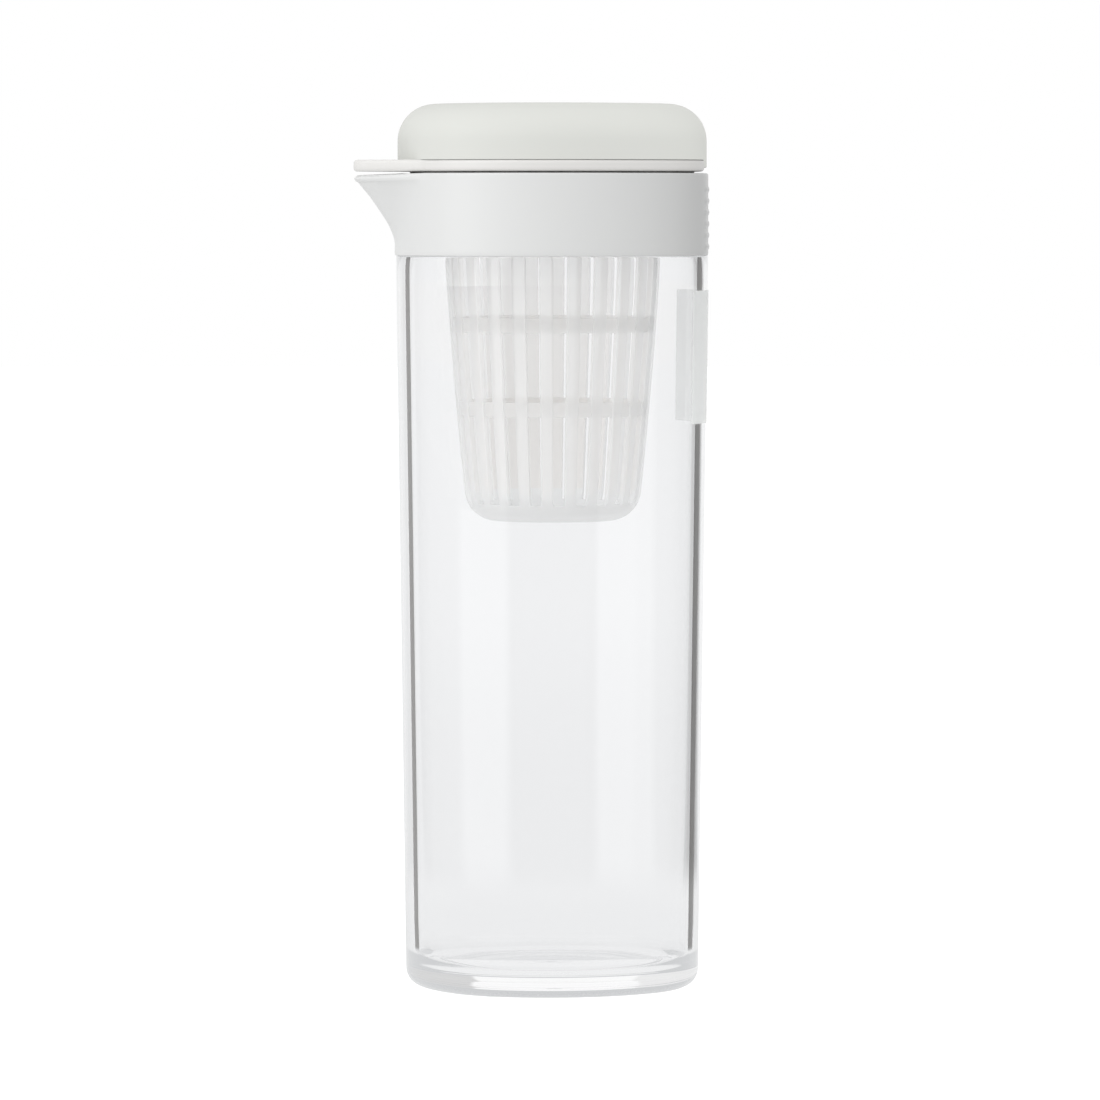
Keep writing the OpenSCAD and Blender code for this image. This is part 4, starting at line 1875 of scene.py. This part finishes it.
@dataclass
class Lid:
    """The lid: plate with plug and tongue, cover with finger tab, and its seal.

    Attributes:
        finishes: The pitcher's materials.
        plan: The shared plan.
        flange: Thickness of the flange.
        flange_half: Half width of the flange.
        flange_round: Rounding along the flange's edges.
        cover_half: Half width of the cover.
        cover_wall: Thickness of the cover's wall.
        cover_round: Rounding along the cover's top edge.
        crown: Crown of the cover's top.
        plug: Half width of the plug.
        plug_wall: Thickness of the plug's wall.
        plate: Thickness of the plate inside the plug.
        rib: Height and thickness of the rib that centres the cover.
        tab: Width, thickness and drop of the finger tab.
        seal_rise: Distance of the seal above the plug's lower edge.
        seal_height: Height of the seal's groove.
        groove: Depth of the groove.
        tongue: Half width and tip radius of the tongue over the spout.
        gap: Gap at pieces that stay together.
        ease: Rounding at the plug's and the rib's edges.
        cover_ease: Rounding at the cover's lower edge.
        ceiling_round: Rounding under the plate, inside the plug.
        tongue_blend: Width of the rounding between flange and tongue.
        tab_round: Length over which the tab's ends are rounded.
        base: Height of the plug's lower edge.
        low: Lowest corner of the model's lid plate.
        high: Highest corner of the model's lid plate.
        top: Height of the cover's top.
    """

    finishes: Finishes
    plan: Plan
    flange: float = 3.9 * MM
    flange_half: float = 51.5 * MM
    flange_round: float = 1.2 * MM
    cover_half: float = 51.25 * MM
    cover_wall: float = 2.0 * MM
    cover_round: float = 12.3 * MM
    crown: float = 0.4 * MM
    plug: float = 47.1 * MM
    plug_wall: float = 2.2 * MM
    plate: float = 2.0 * MM
    rib: tuple[float, float] = (4.0 * MM, 1.4 * MM)
    tab: tuple[float, float, float] = (47.0 * MM, 1.2 * MM, 2.6 * MM)
    seal_rise: float = 2.3 * MM
    seal_height: float = 2.6 * MM
    groove: float = 1.1 * MM
    tongue: tuple[float, float] = (19.8 * MM, 8.0 * MM)
    gap: float = 0.15 * MM
    ease: float = 0.4 * MM
    cover_ease: float = 0.35 * MM
    ceiling_round: float = 1.5 * MM
    tongue_blend: float = 2.5 * MM
    tab_round: float = 1.6 * MM
    base: float = field(default_factory=lambda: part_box("lid_plug")[0].z)
    low: Vector = field(default_factory=lambda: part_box("lid_plate")[0])
    high: Vector = field(default_factory=lambda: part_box("lid_plate")[1])
    top: float = field(default_factory=lambda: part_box("lid_cover")[1].z)

    @property
    def level(self) -> float:
        """Height of the flange's upper face."""
        return self.high.z - self.rib[0]

    def at_tab(self, angle: float, spare: float = 0.0) -> bool:
        """True for a bearing that the finger tab covers."""
        across = abs(math.sin(angle)) * self.cover_half * self.plan.reach(angle)
        return math.cos(angle) > 0 and across <= self.tab[0] / 2 + spare

    def flange_reach(self, inset: float) -> Reach:
        """Reach of the flange with its tongue and its notch for the tab.

        Args:
            inset: The inset of its rounded edges.

        Returns:
            The reach.
        """
        tip = Beak(self.plug, -self.low.x, self.tongue[0], self.tongue[1])
        notch = self.cover_half - self.tab[1] - self.gap

        def reach(angle: float) -> float:
            """Distance from the axis at a bearing.

            Args:
                angle: Bearing in radians.

            Returns:
                The distance.
            """
            if self.at_tab(angle, self.gap):
                return (notch - inset) * self.plan.reach(angle)
            wall = self.flange_half * self.plan.reach(angle)
            return blended_max(wall, tip.at(angle), self.tongue_blend) - inset

        return reach

    def build_plug(self) -> None:
        """Build the skirt under the plate, with the seal's groove."""
        loft = Loft()
        ease = self.ease
        under = self.low.z
        inside, bottom = self.plug - self.plug_wall, self.plug - self.groove
        seal, above = self.base + self.seal_rise, self.base + self.seal_rise + self.seal_height
        section = arc((inside + ease, self.base + ease), ease, 180, 270, EDGE_STEPS)
        section += arc((self.plug - ease, self.base + ease), ease, -90, 0, EDGE_STEPS)
        section += [(self.plug, seal), (bottom, seal), (bottom, above), (self.plug, above)]
        section += arc((self.plug + ease, under - ease), ease, 180, 90, EDGE_STEPS)
        section.append((inside, under))
        loft.sweep(self.plan, section + section[:1])
        loft.weld()
        piece = finished(loft.bm, "white_lid_plug", self.finishes.flange)
        place(piece, Body.LID, Slot.WHITE, "lid_plug")

    def build_plate(self) -> bpy.types.Object:
        """Build the plate with its flange, tongue and rib.

        Returns:
            The piece.
        """
        loft = Loft()
        ease, big, bend = self.ease, self.ceiling_round, self.flange_round
        level, top = self.level, self.high.z
        ceiling = level - self.plate
        under = level - self.flange
        plug_in = self.plug - self.plug_wall
        loft.open_pole(ceiling)
        loft.flat(self.plan, plug_in, OUTWARD, ceiling)
        loft.sweep(self.plan, arc((plug_in - big, ceiling - big), big, 90, 0, CORNER_STEPS))
        loft.sweep(self.plan, [(plug_in, under), (self.plug, under)])
        edges = arc((0, under + bend), bend, -90, 0, ROUND_STEPS)
        edges += arc((0, level - bend), bend, 0, 90, ROUND_STEPS)
        for inset, height in edges:
            loft.ring(self.flange_reach(bend - inset), height)
        rib_out = self.cover_half - self.cover_wall - self.gap
        rib_in = rib_out - self.rib[1]
        loft.sweep(self.plan, [(rib_out, level), (rib_out, top - ease), (rib_out - ease, top)])
        loft.sweep(self.plan, [(rib_in + ease, top), (rib_in, top - ease), (rib_in, level)])
        loft.flat(self.plan, rib_in, INWARD, level)
        loft.pole(level)
        loft.weld()
        piece = finished(loft.bm, "white_lid_plate", self.finishes.flange)
        place(piece, Body.LID, Slot.WHITE, "lid_plate")
        return piece

    def tab_drop(self, angle: float, spare: float) -> float:
        """How far the cover's lower edge hangs down at a bearing.

        Args:
            angle: Bearing in radians.
            spare: How much less the tab hangs down.

        Returns:
            The distance.
        """
        across = abs(math.sin(angle)) * self.cover_half * self.plan.reach(angle)
        if math.cos(angle) < 0 or across > self.tab[0] / 2:
            return 0.0
        side = self.tab[0] / 2 - across
        rounding = min(1.0, side / self.tab_round)
        return (self.tab[2] - spare) * math.sqrt(max(0.0, 1 - (1 - rounding) ** 2))

    def build_cover(self) -> bpy.types.Object:
        """Build the grey cover with its finger tab.

        Returns:
            The piece.
        """
        loft = Loft()
        centre = (self.cover_half - self.cover_round, self.top - self.crown - self.cover_round)
        inside = self.cover_half - self.cover_wall
        ease = self.cover_ease
        loft.open_pole(centre[1] + self.cover_round - self.cover_wall)
        hollow = arc(centre, self.cover_round - self.cover_wall, 90, 0, FOOT_STEPS)
        loft.flat(self.plan, centre[0], (0.3, 0.65), hollow[0][1])
        loft.sweep(self.plan, hollow)
        loft.sweep(self.plan, [(inside, self.level)])

        def edge(spare: float) -> Height:
            """Height of the lower edge, with the tab."""
            return lambda angle: self.level - self.tab_drop(angle, spare)

        def tab_wall(inset: float) -> Reach:
            """Reach of the inner side, which steps out behind the tab."""
            tab_in = self.cover_half - self.tab[1] + inset
            plain = inside + inset
            return lambda angle: (tab_in if self.at_tab(angle) else plain) * self.plan.reach(angle)

        loft.ring(tab_wall(0.0), self.level)
        loft.ring(tab_wall(0.0), edge(ease))
        loft.ring(tab_wall(ease * 0.6), edge(0.0))
        for inset, height in arc((0, 0), ease, -90, 0, EDGE_STEPS):
            loft.ring(self.plan.sized(self.cover_half - ease + inset), edge(height + ease))
        half = self.cover_half
        loft.sweep(self.plan, line((half, self.level + ease), (half, centre[1]), CORNER_STEPS)[1:])
        loft.sweep(self.plan, arc(centre, self.cover_round, 0, 90, TOP_STEPS)[1:])
        shares = (0.85, 0.65, 0.45, 0.25, 0.1)
        crown = [(centre[0] * share, self.top - self.crown * share**2) for share in shares]
        loft.sweep(self.plan, crown)
        loft.pole(self.top)
        loft.weld()
        piece = finished(loft.bm, "grey_lid_cover", self.finishes.cover)
        place(piece, Body.LID, Slot.GREY, "lid_cover")
        return piece

    def build_seal(self) -> None:
        """Build the ring in the plug's groove."""
        low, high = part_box("lid_seal")
        radius = (high.z - low.z) / 2
        inner = self.plug - self.groove + self.gap
        section = [(inner, high.z), (inner, low.z)]
        section += arc((high.x - radius, low.z + radius), radius, -90, 90, HALF_STEPS)
        loft = Loft()
        loft.sweep(self.plan, section + section[:1])
        loft.weld()
        piece = finished(loft.bm, "lid_seal_ring", self.finishes.silicone)
        place(piece, Body.LID, Slot.SILICONE, "lid_seal")

    def build(self) -> tuple[bpy.types.Object, bpy.types.Object]:
        """Build the four pieces of the lid and give its cover and its plate."""
        self.build_plug()
        self.build_seal()
        return self.build_cover(), self.build_plate()


@dataclass
class NeckSeal:
    """The flat silicone ring between the neck and the collar's shelf.

    Attributes:
        finishes: The pitcher's materials.
        plan: The shared plan.
        width: Width of the ring.
        ease: Rounding of its edges.
    """

    finishes: Finishes
    plan: Plan
    width: float = 1.35 * MM
    ease: float = 0.3 * MM

    def build(self) -> None:
        """Build the ring and put it in its place."""
        low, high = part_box("collar_seal")
        loft = Loft()
        section = rounded((low.z, high.z), (high.x, high.x), self.width, self.ease)
        loft.sweep(self.plan, section)
        loft.weld()
        piece = finished(loft.bm, "neck_seal_ring", self.finishes.silicone)
        place(piece, Body.VESSEL, Slot.SILICONE, "collar_seal")


@dataclass
class BackLabel:
    """The blank film on the back wall.

    Attributes:
        finishes: The pitcher's materials.
        vessel: The body that it sticks to.
        width: Width of the film.
        aside: How far its middle lies from the back's middle, towards -Y.
        lift: Gap between the film and the wall.
        thickness: Thickness of the film.
        corner: Radius of the film's corners.
    """

    finishes: Finishes
    vessel: Vessel
    width: float = 48.4 * MM
    aside: float = 10.8 * MM
    lift: float = 0.08 * MM
    thickness: float = 0.2 * MM
    corner: float = 0.6 * MM

    def on_wall(self, across: float, height: float) -> Vector:
        """Point on the wall for a place on the flat film.

        Args:
            across: Distance from the back's middle, towards +Y.
            height: Height of the point.

        Returns:
            The point, lifted off the wall.
        """
        share = across / self.vessel.high.x
        low, high = -math.pi / 4, math.pi / 4
        for _ in range(40):
            turn = (low + high) / 2
            if self.vessel.plan.reach(turn) * math.sin(turn) < share:
                low = turn
            else:
                high = turn
        far = (self.vessel.half(height) + self.lift) * self.vessel.plan.reach(turn)
        return Vector((far * math.cos(turn), far * math.sin(turn), height))

    def build(self) -> bpy.types.Object:
        """Build the film, put it in its place and return it.

        Returns:
            The piece.
        """
        low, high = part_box("back_label")
        bm = bmesh.new()
        bmesh.ops.create_grid(bm, x_segments=1, y_segments=1, size=0.5)
        for vert in bm.verts:
            vert.co = Vector((vert.co.x * self.width, vert.co.y * (high.z - low.z), 0))
        bmesh.ops.bevel(
            bm,
            geom=list(bm.verts),
            offset=self.corner,
            affect="VERTICES",
            segments=6,
            profile=0.5,
            material=-1,
        )
        for step in range(1, 40):
            across = self.width * (step / 40 - 0.5)
            bmesh.ops.bisect_plane(
                bm,
                geom=list(bm.verts) + list(bm.edges) + list(bm.faces),
                plane_co=(across, 0, 0),
                plane_no=(1, 0, 0),
            )
        middle = (low.z + high.z) / 2
        for vert in bm.verts:
            vert.co = self.on_wall(vert.co.x - self.aside, vert.co.y + middle)
        bmesh.ops.recalc_face_normals(bm, faces=list(bm.faces))
        if sum(f.normal.x for f in bm.faces) < 0:
            bmesh.ops.reverse_faces(bm, faces=list(bm.faces))
        bmesh.ops.solidify(bm, geom=list(bm.faces), thickness=-self.thickness)
        bmesh.ops.recalc_face_normals(bm, faces=list(bm.faces))
        piece = finished(bm, "back_label_film", self.finishes.label)
        place(piece, Body.VESSEL, Slot.LABEL, "back_label")
        return piece


@dataclass
class Studio:
    """The pale floor, the soft light and the camera.

    Attributes:
        turn: Bearing of the camera from the axis, in degrees.
        distance: Distance of the camera from the axis.
        height: Height of the camera.
        lens: Focal length in millimetres for the sensor's width.
        sensor: Width of the sensor in millimetres.
        pitch: How far the camera looks down, in degrees.
        aside: How far the view's middle lies beside the axis.
        front_half: Half angle of the part of the room around the camera.
        front_turn: Turn of its middle from the camera.
        side_half: Half angle of the room's right and left parts.
        side_turn: Turn of their middles from the camera.
        shades: Brightness of the front, the right and the left of the room, as
            clear pieces and gloss show it.
        floor_painted_shades: The same, as painted shade on the floor.
        floor_reach: Distances between which the floor takes its shades on.
        left_glare: Further brightness of the left side, as mirrored by gloss.
        sky: Mean brightness of the light from all round.
        sky_slope: How much more of it comes from the bright side.
        sky_turn: Bearing of the bright side from the camera.
        near_floor_shadow: Brightness of the painted shadow on the floor right by the object,
            as seen through it, as a share of the floor a step further.
        mid_floor_shade: Brightness of that floor, a painted shade, as a share of the floor far
            away.
        floor_light: Brightness of the light from the floor.
        floor_slope: How much more of it comes from the bright side.
        near_reach: Distances between which the near floor ends.
        mid_reach: Distances between which the floor a step further ends.
        zone_ease: Softness of the room's parts, as a cosine.
        glare_turn: Bearing of the left glare from the camera.
        glare_reach: Cosines between which the glare grows.
    """

    turn: float = -101.8
    distance: float = 2.418
    height: float = 0.262
    lens: float = 237.4
    sensor: float = 36.0
    pitch: float = 2.7626
    aside: float = 0.67 * MM
    front_half: float = 30.5
    front_turn: float = 3.3
    side_half: float = 40.0
    side_turn: float = 115.0
    shades: tuple[float, float, float] = (0.905, 0.66, 0.85)
    floor_painted_shades: tuple[float, float, float] = (0.66, 0.58, 0.88)
    floor_reach: tuple[float, float] = (0.3, 0.48)
    left_glare: float = 1.0
    sky: float = 0.9
    sky_slope: float = 0.5
    sky_turn: float = -40.0
    near_floor_shadow: float = 0.945
    mid_floor_shade: float = 0.958
    floor_light: float = 0.86
    floor_slope: float = 0.35
    near_reach: Span = (0.22, 0.5)
    mid_reach: Span = (0.6, 2.4)
    zone_ease: float = 0.015
    glare_turn: float = -62.0
    glare_reach: Span = (0.75, 0.97)

    def bearing(self, turn: float) -> Vector:
        """Level unit vector at an angle from the camera's own bearing."""
        angle = math.radians(self.turn + turn)
        return Vector((math.cos(angle), math.sin(angle), 0))

    def build_camera(self) -> None:
        """Place the camera where the photograph was taken from."""
        data = bpy.data.cameras.new("camera")
        data.lens = self.lens
        data.sensor_width = self.sensor
        data.clip_end = 50
        camera = bpy.data.objects.new("camera", data)
        bpy.context.scene.collection.objects.link(camera)
        left = self.bearing(-90)
        stand = self.bearing(0) * self.distance + left * self.aside
        camera.location = stand + Vector((0, 0, self.height))
        down = math.radians(self.pitch)
        look = -self.bearing(0) * math.cos(down) - Vector((0, 0, math.sin(down)))
        camera.rotation_mode = "QUATERNION"
        camera.rotation_quaternion = look.to_track_quat("-Z", "Y")
        bpy.context.scene.camera = camera

    def build_floor(self) -> None:
        """Lay the floor, white to the eye but for the object's shadow."""
        bm = bmesh.new()
        bmesh.ops.create_circle(bm, cap_ends=True, segments=96, radius=9.0)
        mesh = bpy.data.meshes.new("floor")
        bm.to_mesh(mesh)
        bm.free()
        floor = bpy.data.objects.new("floor", mesh)
        bpy.context.scene.collection.objects.link(floor)
        floor.location.z = -0.2 * MM
        mesh.materials.append(self.floor_finish())

    def floor_finish(self) -> bpy.types.Material:
        """Make the floor's material, with a shade for each kind of ray.

        Returns:
            The material.
        """
        shader = Shader("studio_floor")
        tree = shader.tree
        plain = shader.node(
            "ShaderNodeBsdfPrincipled", Base_Color=(0.8, 0.8, 0.8, 1), Roughness=0.9
        )
        shade = shader.node("ShaderNodeBsdfDiffuse", Color=(0.5, 0.5, 0.5, 1))
        glow = shader.node("ShaderNodeEmission", Color=WHITE, Strength=0.7)
        white = shader.node("ShaderNodeAddShader")
        shader.link(shade.outputs["BSDF"], white.inputs[0])
        shader.link(glow.outputs["Emission"], white.inputs[1])
        place_of = shader.object_place()
        distance = shader.node("ShaderNodeVectorMath", operation="LENGTH")
        shader.link(place_of, distance.inputs[0])
        far = distance.outputs["Value"]
        # Seen through clear pieces and in gloss, the floor glows with painted shade: a painted
        # shadow by the object, a darker floor a step further, and darker parts by bearing.
        near = stepped(tree, far, self.near_reach, (self.near_floor_shadow, 1.0))
        fade = stepped(tree, far, self.mid_reach, (self.mid_floor_shade, 1.0))
        reached = soft_step(tree, far, self.floor_reach, (1.0, 1.0))
        shader.link(self.shaded(tree, place_of, self.floor_painted_shades), reached.inputs["To Max"])
        strength = joined(tree, "MULTIPLY", near, fade, reached.outputs["Result"])
        through = shader.node("ShaderNodeEmission", Color=(0.99, 0.995, 1.0, 1))
        shader.link(strength, through.inputs["Strength"])
        lit = shader.node("ShaderNodeEmission", Color=WHITE)
        sloped = self.sloped(tree, place_of, self.floor_light, self.floor_slope)
        shader.link(sloped, lit.inputs["Strength"])
        path = shader.node("ShaderNodeLightPath").outputs
        bent = joined(tree, "MAXIMUM", path["Is Transmission Ray"], path["Is Glossy Ray"])
        layers = (
            (path["Is Diffuse Ray"], lit.outputs["Emission"]),
            (path["Is Camera Ray"], white.outputs["Shader"]),
            (bent, through.outputs["Emission"]),
        )
        return shader.finish(self.layered(tree, plain.outputs["BSDF"], layers))

    def towards(
        self, tree: Tree, place_of: Socket, turn: float
    ) -> Socket:
        """Cosine of a place's level angle to a bearing.

        Args:
            tree: The node tree.
            place_of: Place or direction.
            turn: Angle from the camera's own bearing.

        Returns:
            The cosine.
        """
        level = add_node(tree, "ShaderNodeVectorMath", operation="MULTIPLY")
        level.inputs[1].default_value = (1, 1, 0)
        tree.links.new(place_of, level.inputs[0])
        flat = add_node(tree, "ShaderNodeVectorMath", operation="NORMALIZE")
        tree.links.new(level.outputs["Vector"], flat.inputs[0])
        dot = add_node(tree, "ShaderNodeVectorMath", operation="DOT_PRODUCT")
        dot.inputs[1].default_value = self.bearing(turn)
        tree.links.new(flat.outputs["Vector"], dot.inputs[0])
        return dot.outputs["Value"]

    def sloped(
        self, tree: Tree, place_of: Socket, mean: float, slope: float
    ) -> Socket:
        """Light that comes more from the bright side.

        Args:
            tree: The node tree.
            place_of: Place or direction.
            mean: Mean brightness.
            slope: How much more or less there is at most.

        Returns:
            The brightness.
        """
        made = add_node(tree, "ShaderNodeMath", operation="MULTIPLY_ADD")
        made.inputs[1].default_value = slope
        made.inputs[2].default_value = mean
        tree.links.new(self.towards(tree, place_of, self.sky_turn), made.inputs[0])
        return made.outputs["Value"]

    def shaded(
        self, tree: Tree, place_of: Socket, shades: Colour
    ) -> Socket:
        """Brightness of the room, or the painted shade of the floor, by its bearing.

        Args:
            tree: The node tree.
            place_of: Place or direction.
            shades: Brightness of the front, the right and the left.

        Returns:
            The brightness.
        """
        zones = (
            (self.front_turn, self.front_half),
            (self.side_turn, self.side_half),
            (-self.side_turn, self.side_half),
        )
        parts = []
        for (turn, half), shade in zip(zones, shades):
            edge = math.cos(math.radians(half))
            ends = (edge - self.zone_ease, edge + self.zone_ease)
            parts.append(stepped(tree, self.towards(tree, place_of, turn), ends, (1.0, shade)))
        return joined(tree, "MULTIPLY", *parts)

    @staticmethod
    def layered(
        tree: Tree,
        last: Socket,
        layers: Sequence[tuple[Socket, Socket]],
    ) -> Socket:
        """Lay shaders over each other, each for its own kind of ray.

        Args:
            tree: The node tree.
            last: The shader for every other ray.
            layers: The mask and the shader of each layer.

        Returns:
            The mixed shader.
        """
        for mask, shown in layers:
            last = mix_shaders(tree, mask, last, shown)
        return last

    def build_world(self) -> None:
        """Light from all round, paler on the left, with a white background."""
        world = bpy.data.worlds.new("studio")
        bpy.context.scene.world = world
        world.use_nodes = True
        tree = world.node_tree
        tree.nodes.clear()
        output = tree.nodes.new("ShaderNodeOutputWorld")
        place_of = tree.nodes.new("ShaderNodeTexCoord").outputs["Generated"]

        def background(strength: Socket | None = None) -> Socket:
            """White background, of strength one or of a varying strength.

            Args:
                strength: The varying strength.

            Returns:
                The shader.
            """
            made = add_node(tree, "ShaderNodeBackground", Color=WHITE, Strength=1.0)
            if strength:
                tree.links.new(strength, made.inputs["Strength"])
            return made.outputs["Background"]

        slope = self.sloped(tree, place_of, self.sky, self.sky_slope)
        room = self.shaded(tree, place_of, self.shades)
        to_left = self.towards(tree, place_of, self.glare_turn)
        glare = stepped(tree, to_left, self.glare_reach, (0.0, self.left_glare))
        path = tree.nodes.new("ShaderNodeLightPath").outputs
        layers = (
            (path["Is Glossy Ray"], background(joined(tree, "ADD", room, glare))),
            (path["Is Transmission Ray"], background(room)),
            (path["Is Camera Ray"], background()),
        )
        last = self.layered(tree, background(slope), layers)
        tree.links.new(last, output.inputs["Surface"])

    def soft_box(
        self, name: str, turn: float, lift: float, far: float, size: float, power: float
    ) -> bpy.types.Object:
        """Hang a soft lamp that faces the pitcher's middle.

        Args:
            name: Name of the lamp.
            turn: Angle from the camera's bearing, in degrees; the left is negative.
            lift: Height of the lamp.
            far: Distance from the axis.
            size: Side of the lamp.
            power: Power in watts.

        Returns:
            The lamp.
        """
        data = bpy.data.lights.new(name, "AREA")
        data.shape = "SQUARE"
        data.size = size
        data.energy = power
        lamp = bpy.data.objects.new(name, data)
        bpy.context.scene.collection.objects.link(lamp)
        lamp.location = self.bearing(turn) * far + Vector((0, 0, lift))
        aim = Vector((0, 0, CAD_BOX[1].z / 2)) - lamp.location
        lamp.rotation_mode = "QUATERNION"
        lamp.rotation_quaternion = aim.to_track_quat("-Z", "Y")
        lamp.visible_glossy = False
        lamp.visible_transmission = False
        return lamp

    def fill(self, name: str, power: float, *pieces: bpy.types.Object) -> None:
        """Light some pieces from the right with a lamp of their own.

        Args:
            name: Name of the lamp.
            power: Power in watts.
            *pieces: The pieces that it lights.
        """
        lamp = self.soft_box(name, 92, 0.6, 1.6, 1.2, power)
        lit = bpy.data.collections.new(f"{name}_receivers")
        for piece in pieces:
            lit.objects.link(piece)
        lamp.light_linking.receiver_collection = lit

    def build(self) -> None:
        """Build the whole set."""
        self.build_camera()
        self.build_floor()
        self.build_world()
        self.soft_box("left_soft_box", -62, 0.9, 1.6, 1.2, 3.9)
        self.soft_box("top_soft_box", -20, 1.9, 0.6, 1.2, 5.0)
        bpy.context.scene.view_settings.view_transform = "Standard"


def main() -> None:
    """Build the studio, then every piece from the foot up."""
    logging.basicConfig(level=logging.INFO, format="%(name)s: %(message)s")
    studio = Studio()
    studio.build()
    finishes = Finishes()
    plan = Plan()
    vessel = Vessel(finishes, plan)
    vessel.build()
    NeckSeal(finishes, plan).build()
    Collar(finishes, plan).build()
    Basket(finishes).build()
    cover, plate = Lid(finishes, plan).build()
    label = BackLabel(finishes, vessel).build()
    studio.fill("cover_fill", 13.0, cover, label)
    studio.fill("flange_fill", 6.0, plate)


if __name__ == "__main__":
    main()
